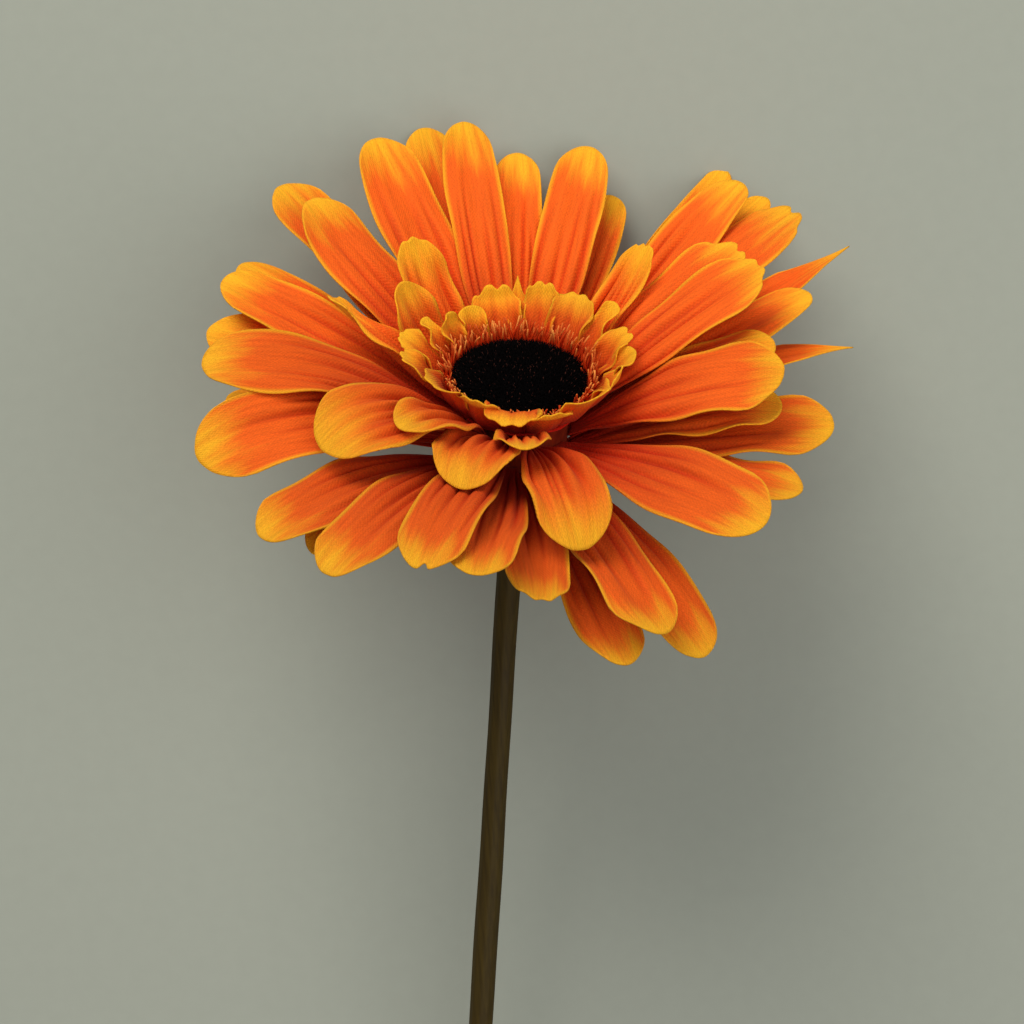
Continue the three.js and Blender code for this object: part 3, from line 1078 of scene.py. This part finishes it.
@dataclass
class Cloth:
    """One petal's cloth, drawn over a coarse sheet.

    Attributes:
        name: The petal's name.
        sheet: The coarse sheet, rows by columns by 3, from root to tip.
        style: How it is pressed and cut.
        tip: How its tip is cut.
        tone: How light its colour is, from 0 to 1; a low value is painted shade.
    """

    FULL_HALF_WIDTH = 5.5 * MM  # a narrower petal has shallower creases
    END_WIDTHS = {Tip.POINTED: 0.25, Tip.NARROW: 0.5}  # shares of the widest width
    PLAIN_END_WIDTH = 0.8
    CREASE_SPAN = 0.72  # how far out the creases stand, as a share of the half-width
    SEED_STEP = 7919  # keeps petals with like names from having like random numbers

    name: str
    sheet: Array
    style: PetalStyle
    tip: Tip = Tip.ROUND
    tone: float = 0.5

    def grid(self) -> Grid:
        """Draws the fine sheet with its creases, its waving edge and its marks.

        Returns:
            The fine grid.
        """
        draw = np.random.default_rng(sum(map(ord, self.name)) * self.SEED_STEP)
        style = self.style
        run, sheet = self._opened()
        length = run[-1]
        across = np.linspace(-1, 1, style.columns)
        across = 0.6 * across + 0.4 * np.sin(across * math.pi / 2)  # closer together at the edges
        knots = np.linspace(-1, 1, sheet.shape[1])
        rails = np.stack([spline(knots, row, across) for row in sheet])
        share = np.linspace(0.0, 1.0, style.rows)
        slim = np.linalg.norm(sheet[-1, -1] - sheet[-1, 0]) / 2 / length
        along = share[:, None] * style.end(across, self.tip, slim, draw)[None, :]
        places = np.stack(
            [spline(run / length, rails[:, i], along[:, i]) for i in range(style.columns)], axis=1
        )
        half = np.linalg.norm(np.diff(places, axis=1), axis=2).sum(1)[:, None] / 2
        fall, groove = self._creases(across[None, :], along, draw)
        fall = fall * min(1.0, half.max() / self.FULL_HALF_WIDTH)
        wave = self._ripple(across[None, :], along, draw)
        normal = unit(np.cross(np.gradient(places, axis=0), np.gradient(places, axis=1)))
        places = places + normal * (wave - fall)[..., None]
        side = (1.0 - np.abs(across))[None, :] * half
        ahead = (along[-1] - along) * length
        tone = np.clip(self.tone + draw.uniform(-0.2, 0.2), 0.0, 1.0)
        return Grid(
            places,
            np.stack([along * length, across[None, :] * half], axis=2),
            {
                "along": along,
                "rim": np.minimum(side, ahead),
                "groove": groove,
                "tone": np.full(along.shape, tone),
            },
        )

    def _opened(self) -> tuple[Array, Array]:
        """Squares the coarse sheet's rows and keeps it wide up to its end.

        Returns:
            The distance of each row from the root, and the sheet's new points.
        """
        middle = self.sheet[:, self.sheet.shape[1] // 2]
        run = run_length(middle)
        forward = unit(np.gradient(middle, axis=0))[:, None]
        aside = self.sheet - middle[:, None]
        aside = aside - (aside * forward).sum(2, keepdims=True) * forward
        width = np.linalg.norm(aside[:, -1] - aside[:, 0], axis=1)
        widest = int(np.argmax(width))
        fullness = self.END_WIDTHS.get(self.tip, self.PLAIN_END_WIDTH)
        taper = 1.3 if self.tip is Tip.POINTED else 2.0
        past = np.clip((run - run[widest]) / (run[-1] - run[widest]), 0.0, 1.0)
        wanted = np.where(past > 0, width[widest] * (1 - (1 - fullness) * past**taper), width)
        return run, middle[:, None] + aside * (wanted / width)[:, None, None]

    def _creases(self, across: Array, along: Array, draw: np.random.Generator) -> tuple[Array, Array]:
        """Presses the creases.

        Args:
            across: Places from -1 to 1, 1 by columns.
            along: Shares of the length, rows by columns.
            draw: The petal's own random numbers.

        Returns:
            How deep each point is pressed, and how deep in a crease it lies, from 0 to 1, which sets the
            painted crease shade.
        """
        style = self.style
        fall = np.zeros(along.shape)
        groove = np.zeros(along.shape)
        spots = np.linspace(-self.CREASE_SPAN, self.CREASE_SPAN, style.creases)
        spots = spots + draw.uniform(-0.08, 0.08, style.creases)
        for spot in spots:
            width = draw.uniform(0.055, 0.09)
            end = draw.uniform(0.72, 0.95)
            bend = draw.uniform(-0.1, 0.1)
            depth = style.depth * draw.uniform(0.6, 1.1)
            line = spot * (1.0 - 0.18 * along) + bend * np.sin(along * math.pi)
            fade = smoothstep(along, 0.02, 0.22) * (1.0 - smoothstep(along, end - 0.35, end))
            dent = np.exp(-(((across - line) / width) ** 2)) * fade
            fall += depth * dent
            groove = np.maximum(groove, dent)
        turn = across * math.pi * (style.creases - 1) / (2 * self.CREASE_SPAN)
        swell = np.cos(turn + draw.uniform(-0.4, 0.4))
        swell = swell * smoothstep(along, 0.05, 0.3) * (1.0 - smoothstep(along, 0.7, 1.0))
        return fall + 0.3 * style.depth * swell, groove

    def _ripple(self, across: Array, along: Array, draw: np.random.Generator) -> Array:
        """Waves the edge out of the sheet.

        Args:
            across: Places from -1 to 1, 1 by columns.
            along: Shares of the length, rows by columns.
            draw: The petal's own random numbers.

        Returns:
            How far each point moves.
        """
        size = self.style.ripple
        wave = np.zeros(along.shape)
        for side in (-1, 1):
            turns = draw.uniform(1.6, 2.8)
            phase = draw.uniform(0, 2 * math.pi)
            edge = np.clip(across * side, 0, 1) ** 3
            wave += edge * np.sin(turns * 2 * math.pi * along + phase)
        curl = draw.uniform(-1.0, 1.6) * smoothstep(along, 0.82, 1.0)
        return size * (wave * smoothstep(along, 0.25, 0.6) + curl)

    def build(self) -> bpy.types.Object:
        """Models the petal.

        Returns:
            The petal, with its thickness.
        """
        piece = self.grid().build(self.name)
        thicken(piece, self.style.thickness)
        return piece


@dataclass
class Petals:
    """All the petals that have a solid of their own.

    Attributes:
        head: The head's frame.
        nodes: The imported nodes.
    """

    ACROSS = 5  # points across a solid petal

    head: Head
    nodes: dict[str, bpy.types.Object]

    def sheet(self, name: str) -> Array:
        """The middle of a solid petal, from its root to its tip.

        Args:
            name: The petal's node.

        Returns:
            Its points, rows by columns by 3, turned so that its face side is up.
        """
        middle = Solid.of(self.nodes[name]).middle_sheet()
        near = np.argsort(self.head.from_axis(middle.points))
        rows = []
        for layer in middle.layers([int(index) for index in near[: self.ACROSS]]):
            row = middle.points[middle.chain(layer)]
            if rows and np.linalg.norm(row - rows[-1]) > np.linalg.norm(row[::-1] - rows[-1]):
                row = row[::-1]
            rows.append(row)
        sheet = np.stack(rows)
        out = sheet[1].mean(0) - sheet[0].mean(0)
        side = sheet[0, -1] - sheet[0, 0]
        if np.cross(out, side) @ self.head.face < 0:
            sheet = sheet[:, ::-1]
        return sheet

    def build(self, long_finish: bpy.types.Material, short_finish: bpy.types.Material) -> None:
        """Models and dresses every petal.

        Args:
            long_finish: Material of the long petals.
            short_finish: Material of the short ones.
        """
        for name in sorted(self.nodes):
            if "_petal_" not in name:
                continue
            short = name.startswith("short")
            style = SHORT_PETAL if short else LONG_PETAL
            sheet = self.sheet(name)
            # painted shade: petals that point down the head get a low tone, which darkens and reddens them
            tone = 0.5 + 0.5 * unit(sheet[-1].mean(0) - self.head.origin) @ self.head.up
            piece = Cloth(f"cloth_{name}", sheet, style, TIPS.get(name, Tip.ROUND), tone).build()
            finish = short_finish if short else long_finish
            settle(piece, finish, "short_petal_cloth" if short else "petal_cloth", name)


# ---- collar --------------------------------------------------------------------------------


@dataclass(frozen=True)
class CollarPetal:
    """One small petal of the collar.

    Attributes:
        heading: Degrees from the head's +X.
        reach: How far its tip is from the axis, in millimetres.
        height: How high its tip is, in millimetres.
        width: Its width, in millimetres.
        fold: How far its tip rolls outwards, in millimetres.
        tip: How its tip is cut.
        tone: How light its colour is, from 0 to 1; a low value is painted shade.
    """

    heading: float
    reach: float
    height: float
    width: float
    fold: float
    tip: Tip
    tone: float = 0.4


COLLAR = (
    CollarPetal(2, 18.5, 5.5, 6.5, 0.6, Tip.ROUND),
    CollarPetal(20, 18.5, 6.2, 7.0, 0.5, Tip.LOBED),
    CollarPetal(44, 21.5, 6.2, 4.2, 0.2, Tip.NARROW),
    CollarPetal(62, 20.0, 6.2, 8.0, 0.8, Tip.WAVY),
    CollarPetal(80, 20.5, 6.4, 6.0, 0.4, Tip.LOBED),
    CollarPetal(93, 20.8, 7.0, 3.6, 0.0, Tip.POINTED),
    CollarPetal(105, 19.2, 6.2, 8.8, 0.9, Tip.LOBED),
    CollarPetal(125, 15.8, 5.2, 5.4, 0.3, Tip.ROUND),
    CollarPetal(143, 16.2, 5.6, 3.8, 0.2, Tip.ROUND),
    CollarPetal(155, 17.8, 5.8, 3.8, 0.3, Tip.NARROW),
    CollarPetal(170, 19.6, 5.6, 5.4, 0.8, Tip.WAVY),
    CollarPetal(188, 19.2, 5.2, 6.4, 0.9, Tip.LOBED),
    # the low tones from here to 321 degrees, on the head's lower side, are painted shade
    CollarPetal(211, 16.4, 4.6, 11.0, 1.0, Tip.WAVY, 0.15),
    CollarPetal(240, 14.6, 3.8, 9.5, 1.2, Tip.WAVY, 0.0),
    CollarPetal(265, 13.6, 3.9, 10.0, 4.2, Tip.WAVY, 0.1),
    CollarPetal(291, 15.4, 2.8, 9.0, 1.6, Tip.WAVY, 0.0),
    CollarPetal(321, 17.0, 4.8, 12.0, 0.6, Tip.WAVY, 0.2),
    CollarPetal(343, 17.6, 5.2, 7.5, 0.5, Tip.WAVY),
)


@dataclass
class Collar:
    """The ring of small cupped petals round the disc, one piece of cloth.

    Attributes:
        head: The head's frame.
        root_radius: Where the petals start, from the axis.
        root_height: The height of their band.
        root_width: Width of a petal's root.
        band_width: Width of the band.
        overlap: How far every other petal stands outside its neighbours.
    """

    ROWS, COLUMNS = 9, 5  # of points on a petal's coarse sheet
    DEEPEST_CUP = 0.8 * MM
    BAND_STEPS = 96

    head: Head
    root_radius: float = 10.2 * MM
    root_height: float = -4.9 * MM
    root_width: float = 5.4 * MM
    band_width: float = 1.6 * MM
    overlap: float = 0.35 * MM

    def _sheet(self, petal: CollarPetal, layer: int) -> Array:
        """Draws the coarse sheet of one petal.

        Args:
            petal: The petal.
            layer: 0 for an inner petal, 1 for an outer one.

        Returns:
            Its points, rows by columns by 3.
        """
        heading = math.radians(petal.heading)
        reach, height = petal.reach * MM, petal.height * MM
        start = self.root_radius + layer * self.overlap
        share = np.linspace(0.0, 1.0, self.ROWS)[:, None]
        across = np.linspace(-1.0, 1.0, self.COLUMNS)[None, :]
        knee = start + 0.42 * (reach - start) + 0.9 * MM
        sink = self.root_height + 0.34 * (height - self.root_height)
        # a curve from the root over the knee to the tip
        root, bend, end = (1 - share) ** 2, 2 * share * (1 - share), share**2
        radius = root * start + bend * knee + end * reach
        rise = root * self.root_height + bend * sink + end * height
        rolled = smoothstep(share, 0.72, 1.0)
        radius, rise = radius + rolled * petal.fold * MM, rise - 0.6 * rolled**2 * petal.fold * MM
        grown = np.sin(np.clip(share / 0.75, 0, 1) * math.pi / 2)
        half = self.root_width / 2 + (petal.width * MM - self.root_width) / 2 * grown
        cup = np.minimum(0.5 * half, self.DEEPEST_CUP) * across**2 * (1 - 0.6 * rolled)
        return self.head.place(radius - cup, heading + across * half / radius, rise + 0.15 * cup)

    def build(self, finish: bpy.types.Material) -> None:
        """Models and dresses the collar.

        Args:
            finish: Its material.
        """
        pieces = [
            Cloth(f"collar_{i:02d}", self._sheet(petal, i % 2), COLLAR_PETAL, petal.tip, petal.tone).build()
            for i, petal in enumerate(COLLAR)
        ]
        pieces.append(self._band())
        settle(joined("collar_cloth", pieces), finish, "collar_cloth", "collar")

    def _band(self) -> bpy.types.Object:
        """Models the flat ring that the petals grow from.

        Returns:
            The ring.
        """
        turns = np.linspace(0, 2 * math.pi, self.BAND_STEPS + 1)[:, None]
        steps = np.linspace(0, 1, 4)[None, :]
        radius = self.root_radius - self.band_width * (1 - steps) + 0.5 * MM + 0 * turns
        height = self.root_height + 0.2 * MM * np.sin(turns * 9) * steps
        grid = Grid(
            self.head.place(radius, turns + 0 * steps, height),
            np.stack([turns * self.root_radius + 0 * steps, steps * self.band_width + 0 * turns], axis=2),
            {
                "along": 0.02 + 0 * height,
                "rim": 5 * MM + 0 * height,
                "groove": 0 * height,
                "tone": 0.5 + 0 * height,
            },
        )
        band = grid.build("collar_band")
        weld(band, 0.01 * MM, outwards=False)
        thicken(band, COLLAR_PETAL.thickness)
        return band


# ---- fringe and disc -----------------------------------------------------------------------


@dataclass
class Strands:
    """Many thin tapered fibres, modelled as one mesh.

    Attributes:
        name: The piece's name.
        sides: Sides of a fibre.
        rings: Rings of points along a fibre.
    """

    TAPER = 0.55  # share of the thickness that is lost at the tip

    name: str
    sides: int
    rings: int

    def build(
        self, roots: Array, tips: Array, bows: Array, widths: Array, tones: Array
    ) -> bpy.types.Object:
        """Models the fibres, each on a bowed line from its root to its tip.

        Args:
            roots: Where they start, n by 3.
            tips: Where they end, n by 3.
            bows: How far their middles stand aside, n by 3.
            widths: Their thickness at the root, n.
            tones: How strongly their tips are coloured, n.

        Returns:
            The fibres, closed at both ends.
        """
        count = len(roots)
        share = np.linspace(0.0, 1.0, self.rings)[None, :, None]
        line = roots[:, None] * (1 - share) + tips[:, None] * share
        line = line + bows[:, None] * (4 * share * (1 - share))
        axis = unit(tips - roots)
        side = unit(np.cross(axis, np.roll(axis, 1, axis=1) + np.array((0.3, 0.1, 0.2))))
        other = np.cross(axis, side)
        angle = np.arange(self.sides) * 2 * math.pi / self.sides
        cosine, sine = np.cos(angle)[None, :, None], np.sin(angle)[None, :, None]
        around = cosine * side[:, None] + sine * other[:, None]
        taper = widths[:, None] / 2 * (1 - self.TAPER * share[0, :, 0] ** 2)[None, :]
        points = line[:, :, None] + around[:, None] * taper[:, :, None, None]
        base = np.arange(count)[:, None, None] * self.rings * self.sides
        row = base + np.arange(self.rings - 1)[None, :, None] * self.sides
        here = np.arange(self.sides)[None, None, :]
        ahead = (here + 1) % self.sides
        above = row + self.sides
        quads = np.stack([row + here, row + ahead, above + ahead, above + here], axis=-1).reshape(-1, 4)
        foot = base[:, 0] + np.arange(self.sides)[::-1]
        top = base[:, 0] + (self.rings - 1) * self.sides + np.arange(self.sides)
        mesh = bpy.data.meshes.new(self.name)
        faces = quads.tolist() + foot.tolist() + top.tolist()
        mesh.from_pydata(points.reshape(-1, 3).tolist(), [], faces)
        along = np.broadcast_to(share[0, :, 0][None, :, None], (count, self.rings, self.sides))
        tone = np.broadcast_to(tones[:, None, None], along.shape)
        mark(mesh, "along", along)
        mark(mesh, "tone", tone)
        piece = bpy.data.objects.new(self.name, mesh)
        bpy.context.collection.objects.link(piece)
        pick(piece)
        bpy.ops.object.shade_smooth()
        return piece


@dataclass
class Fringe:
    """The ring of cut threads between the disc and the collar.

    Attributes:
        head: The head's frame.
        threads: How many there are.
        inner: Radius of the innermost ones.
        outer: Radius of the outermost ones.
        foot: Height of their roots.
        length: Their usual length.
        width: Their usual thickness.
        pressed: Share of the length that is left where the near petals press them down.
    """

    SEED = 41

    head: Head
    threads: int = 330
    inner: float = 11.3 * MM
    outer: float = 12.5 * MM
    foot: float = -1.2 * MM
    length: float = 4.3 * MM
    width: float = 0.48 * MM
    pressed: float = 0.45

    def build(self, finish: bpy.types.Material) -> None:
        """Models and dresses the threads.

        Args:
            finish: Their material.
        """
        draw = np.random.default_rng(self.SEED)
        heading = np.linspace(0, 2 * math.pi, self.threads, endpoint=False)
        heading = heading + draw.normal(0, 0.012, self.threads)
        radius = draw.uniform(self.inner, self.outer, self.threads)
        roots = self.head.place(radius, heading, np.full(self.threads, self.foot))
        near = smoothstep(-np.sin(heading), -0.35, 0.35)
        length = self.length * draw.uniform(0.6, 1.12, self.threads) * (1 - (1 - self.pressed) * near)
        lean = draw.normal(0.25, 0.22, self.threads)
        twist = draw.normal(0, 0.2, self.threads)
        tips = self.head.place(
            radius + length * np.sin(lean),
            heading + twist * length / radius,
            self.foot + length * np.cos(lean),
        )
        bows = draw.normal(0, 0.22 * MM, (self.threads, 3))
        widths = self.width * draw.uniform(0.7, 1.2, self.threads)
        tones = draw.uniform(0.1, 1.0, self.threads) ** 1.5
        piece = Strands("fringe_threads", sides=5, rings=7).build(roots, tips, bows, widths, tones)
        settle(piece, finish, "fringe_thread", "fringe")


@dataclass
class Disc:
    """The dome of short black pile.

    Attributes:
        head: The head's frame.
        radius: The dome's radius.
        foot: Height of its underside.
        shoulder: Height where its side turns in.
        crown: Height of its middle.
        sunk: How deep the pile's roots lie in its ground.
        tufts: How many fibres the pile has.
    """

    SEED = 17
    GOLDEN_ANGLE = math.pi * (3 - math.sqrt(5))  # spreads the tufts evenly

    head: Head
    radius: float = 11.0 * MM
    foot: float = -3.3 * MM
    shoulder: float = -0.9 * MM
    crown: float = 1.0 * MM
    sunk: float = 0.2 * MM
    tufts: int = 5200

    def _height(self, radius: Array) -> Array:
        """Height of the pile's ground at a distance from the axis."""
        share = np.clip(radius / self.radius, 0, 1)
        return self.shoulder + (self.crown - self.shoulder) * np.sqrt(np.clip(1 - share**2.6, 0, 1))

    def build(self, finish: bpy.types.Material) -> None:
        """Models and dresses the disc.

        Args:
            finish: Its material.
        """
        piece = joined("disc_pile", [self._pile(), self._ground()])
        settle(piece, finish, "disc_pile", "disc")

    def _ground(self) -> bpy.types.Object:
        """Models the dome under the pile.

        Returns:
            The dome, closed below.
        """
        clear_selection()
        bpy.ops.mesh.primitive_uv_sphere_add(segments=64, ring_count=32, radius=1.0)
        dome = bpy.context.object
        dome.name = "disc_ground"
        mesh = dome.data
        places = np.array([vertex.co for vertex in mesh.vertices])
        heading = np.arctan2(places[:, 1], places[:, 0])
        radius = np.hypot(places[:, 0], places[:, 1]) * self.radius * 0.985
        top = self._height(radius) + 0.12 * MM * np.sin(heading * 23) * np.sin(radius / self.radius * 40)
        low = self.foot + (self.shoulder - self.foot) * (1 - np.abs(places[:, 2])) ** 2
        height = np.where(places[:, 2] > 0, top, low)
        mesh.vertices.foreach_set("co", self.head.place(radius, heading, height).ravel())
        for label in ("along", "tone"):
            mark(mesh, label, np.zeros(len(mesh.vertices)))
        bpy.ops.object.shade_smooth()
        return dome

    def _pile(self) -> bpy.types.Object:
        """Models the pile.

        Returns:
            Its fibres.
        """
        draw = np.random.default_rng(self.SEED)
        index = np.arange(self.tufts) + 0.5
        radius = self.radius * np.sqrt(index / self.tufts) * 0.99
        heading = index * self.GOLDEN_ANGLE + draw.normal(0, 0.01, self.tufts)
        ground = self._height(radius) - self.sunk
        roots = self.head.place(radius, heading, ground)
        slope = (radius / self.radius) ** 3 * 1.1
        lean = slope + draw.normal(0, 0.28, self.tufts)
        length = draw.uniform(0.7, 1.25, self.tufts) * MM
        tips = self.head.place(
            radius + length * np.sin(lean),
            heading + draw.normal(0, 0.3, self.tufts) * length / np.maximum(radius, MM),
            ground + length * np.cos(lean),
        )
        bows = draw.normal(0, 0.06 * MM, (self.tufts, 3))
        widths = draw.uniform(0.14, 0.22, self.tufts) * MM
        tones = (draw.uniform(0, 1, self.tufts) > 0.93) * draw.uniform(0.2, 1.0, self.tufts)
        return Strands("pile", sides=3, rings=3).build(roots, tips, bows, widths, tones)


# ---- calyx and stem ------------------------------------------------------------------------

SEAM_DISTANCE = 0.005 * MM  # points of a rolled skin's seam lie closer than this


@dataclass
class Tube:
    """A round skin drawn along a line.

    Attributes:
        name: The piece's name.
        line: The middle line, n by 3.
        wall: Thickness of its wall.
        sides: Points round it.
    """

    name: str
    line: Array
    wall: float
    sides: int = 40

    def build(self, radius: Callable[[Array, Array], Array]) -> bpy.types.Object:
        """Models the tube, open at both ends.

        Args:
            radius: Gives the radius from the distance along and the angle round.

        Returns:
            The tube.
        """
        run = run_length(self.line)
        along = unit(np.gradient(self.line, axis=0))
        side = unit(np.cross(along, np.array((0.0, 0.0, 1.0))))
        other = np.cross(side, along)
        angle = np.linspace(0, 2 * math.pi, self.sides + 1)[None, :]
        size = radius(run[:, None] + 0 * angle, angle + 0 * run[:, None])
        around = np.cos(angle)[..., None] * side[:, None] + np.sin(angle)[..., None] * other[:, None]
        places = self.line[:, None] + around * size[..., None]
        flat = np.stack([run[:, None] + 0 * angle, angle * size], axis=2)
        piece = Grid(places, flat).build(self.name)
        weld(piece, SEAM_DISTANCE)
        thicken(piece, self.wall, -1.0)
        pick(piece)
        bpy.ops.object.shade_smooth_by_angle(angle=math.radians(40))
        return piece


@dataclass
class Stem:
    """The plastic stem, with its cut end, ridges and moulding lines.

    Attributes:
        nodes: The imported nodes.
        radius: Half its thickness.
        wall: Thickness of its wall.
        step: Distance between the rings of points along it.
    """

    WIRE_SIDES = 8  # points round the solid wire, which the stem follows
    RIDGES = 9

    nodes: dict[str, bpy.types.Object]
    radius: float = 2.1 * MM
    wall: float = 0.95 * MM
    step: float = 1.0 * MM

    def line(self) -> Array:
        """The stem's middle line, from its top to its cut end.

        Returns:
            Evenly spaced points.
        """
        wire = Solid.of(self.nodes["stem_wire"])
        top = [int(index) for index in np.argsort(wire.points[:, 1])[::-1][: self.WIRE_SIDES]]
        coarse = np.array([wire.points[layer].mean(0) for layer in wire.layers(top)])
        run = run_length(coarse)
        return spline(run, coarse, np.linspace(0.0, run[-1], int(run[-1] / self.step)))

    def _skin(self, run: Array, angle: Array) -> Array:
        """Works out the radius, with faint ridges and a moulding line down each side.

        Args:
            run: Distance along the stem.
            angle: Angle round it.

        Returns:
            The radius.
        """
        ridge = 0.05 * MM * np.sin(self.RIDGES * angle + 0.6 * np.sin(run / (14 * MM)))
        seam = 0.07 * MM * np.exp(-(((np.abs(np.sin(angle))) / 0.09) ** 2))
        swell = 0.06 * MM * np.sin(run / (11 * MM)) + 0.04 * MM * np.sin(run / (4.3 * MM) + angle)
        return self.radius - 0.08 * MM + ridge + seam + swell

    def build(self, finish: bpy.types.Material) -> None:
        """Models and dresses the stem.

        Args:
            finish: Its material.
        """
        piece = Tube("stem_plastic", self.line(), self.wall).build(self._skin)
        settle(piece, finish, "stem_plastic", "stem")


@dataclass
class Calyx:
    """The moulded cup with its pointed sepals.

    Attributes:
        head: The head's frame.
        sepals: How many sepals it has.
        top: Height of its rim.
        height: How deep it reaches below the rim.
        rim: Radius of the rim.
        neck: Radius of its lower end.
        sepal: How far a sepal reaches past the rim.
        wall: Thickness of its wall.
    """

    CUP_SHARE = 0.72  # share of the outline that is the cup, the rest being sepal
    SEPAL_STEPS = 12
    ROWS = 34

    head: Head
    sepals: int = 12
    top: float = -16.8 * MM
    height: float = 9.0 * MM
    rim: float = 9.6 * MM
    neck: float = 3.7 * MM
    sepal: float = 4.5 * MM
    wall: float = 0.9 * MM

    def build(self, finish: bpy.types.Material) -> None:
        """Models and dresses the calyx.

        Args:
            finish: Its material.
        """
        turns = np.linspace(0, 2 * math.pi, self.sepals * self.SEPAL_STEPS + 1)[None, :]
        share = np.linspace(0.0, 1.0, self.ROWS)[:, None]
        leaf = np.abs(((turns / (2 * math.pi) * self.sepals + 0.5) % 1.0) - 0.5) * 2
        cup = np.clip(share / self.CUP_SHARE, 0, 1)
        flare = np.clip((share - self.CUP_SHARE) / (1 - self.CUP_SHARE), 0, 1)
        flutes = 0.25 * MM * np.cos(turns * self.sepals) * cup
        radius = self.neck + (self.rim - self.neck) * cup**1.6 + flutes
        radius = radius + flare * (self.sepal * (1 - leaf) ** 0.8)
        height = self.top - self.height * (1 - cup**0.9) - 1.3 * MM * flare**2 * (1 - leaf)
        height = height - self.wall / 2
        flat = np.stack([share * self.height + 0 * turns, turns * self.rim + 0 * share], axis=2)
        piece = Grid(self.head.place(radius, turns + 0 * share, height), flat).build("calyx_cup")
        weld(piece, SEAM_DISTANCE)
        thicken(piece, self.wall)
        settle(piece, finish, "calyx_plastic", "calyx")


# ---- stage ---------------------------------------------------------------------------------


@dataclass
class Stage:
    """The floor, the soft lights and the camera.

    Attributes:
        eye: The camera's place.
        look: The way it looks.
        up: The way its top points.
        lens: Its focal length, in millimetres.
        aim: What the lights are aimed at, near the flower head.
        floor_colour: The floor's main colour.
    """

    SENSOR = 36.0  # millimetres wide
    FLOOR_SIZE = 6.0

    eye: Vector = field(default_factory=lambda: Vector((0.0317, 0.0889, 0.5412)))
    look: Vector = field(default_factory=lambda: Vector((-0.0722, -0.0200, -0.9972)))
    up: Vector = field(default_factory=lambda: Vector((0.0619, 0.9978, -0.0245)))
    lens: float = 105.47
    aim: Vector = field(default_factory=lambda: Vector((0.0, 0.09, 0.03)))
    floor_colour: Colour = (0.34, 0.35, 0.285)

    def build(self) -> None:
        """Makes the floor, the lights, the world and the camera."""
        self._floor()
        self._light("key", Vector((-0.3, 1.05, 0.75)), 0.9, 13.0, (1.0, 0.98, 0.95))
        self._light("fill", Vector((0.6, -0.1, 1.0)), 1.2, 7.5, (0.95, 0.98, 1.0))
        world = bpy.data.worlds.new("studio")
        bpy.context.scene.world = world
        world.use_nodes = True
        sky = world.node_tree.nodes["Background"].inputs
        sky["Color"].default_value = opaque((0.92, 0.95, 1.0))
        sky["Strength"].default_value = 0.3
        self._camera()

    def _floor(self) -> None:
        """A plain pale floor with a faint paper grain."""
        clear_selection()
        bpy.ops.mesh.primitive_plane_add(size=self.FLOOR_SIZE)
        floor = bpy.context.object
        floor.name = "floor"
        material, graph, inputs = new_material("floor_paper")
        grain = graph.noise(graph.place(), 350.0, 4.0)
        pale = opaque(tuple(1.06 * part for part in self.floor_colour))
        graph.put(graph.mix(grain, opaque(self.floor_colour), pale), inputs["Base Color"])
        inputs["Roughness"].default_value = 0.9
        inputs["Specular IOR Level"].default_value = 0.1
        floor.data.materials.append(material)

    def _light(self, name: str, place: Vector, size: float, power: float, colour: Colour) -> None:
        """Hangs a square soft light, aimed at the flower head.

        Args:
            name: Its name.
            place: Where it hangs.
            size: Its width.
            power: How strong it is, in watts.
            colour: Its colour.
        """
        lamp = bpy.data.lights.new(name, "AREA")
        lamp.size = size
        lamp.energy = power
        lamp.color = colour
        item = bpy.data.objects.new(name, lamp)
        item.location = place
        item.rotation_euler = (self.aim - place).to_track_quat("-Z", "Y").to_euler()
        bpy.context.collection.objects.link(item)

    def _camera(self) -> None:
        """The camera, which looks down on the flower."""
        camera = bpy.data.cameras.new("camera")
        camera.lens = self.lens
        camera.sensor_width = self.SENSOR
        camera.clip_start, camera.clip_end = 0.01, 20.0
        item = bpy.data.objects.new("camera", camera)
        back = -self.look.normalized()
        right = self.up.cross(back).normalized()
        above = back.cross(right)
        turn = Matrix((right, above, back)).transposed()
        item.matrix_world = Matrix.Translation(self.eye) @ turn.to_4x4()
        bpy.context.collection.objects.link(item)
        scene = bpy.context.scene
        scene.camera = item
        scene.view_settings.view_transform = "Standard"


# ---- the whole flower ----------------------------------------------------------------------


def main() -> None:
    """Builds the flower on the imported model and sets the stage."""
    logging.basicConfig(level=logging.INFO, format="%(name)s %(message)s")
    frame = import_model()
    nodes = frame["nodes"]
    head = Head.of(nodes)
    effects = Effects()

    Petals(head, nodes).build(LONG_PETAL_CLOTH.make(effects), SHORT_PETAL_CLOTH.make(effects))
    Collar(head).build(COLLAR_CLOTH.make(effects))
    Fringe(head).build(FRINGE_THREAD.make())
    Disc(head).build(BLACK_PILE.make())
    Calyx(head).build(CALYX_PLASTIC.make())
    Stem(nodes).build(STEM_PLASTIC.make())
    for name, finish in (("hub", HUB_PLASTIC), ("stem_wire", WIRE_STEEL)):
        nodes[name].data.materials.clear()
        nodes[name].data.materials.append(finish.make())
        LOG.info("%s keeps its solid", name)
    Stage().build()


if __name__ == "__main__":
    main()
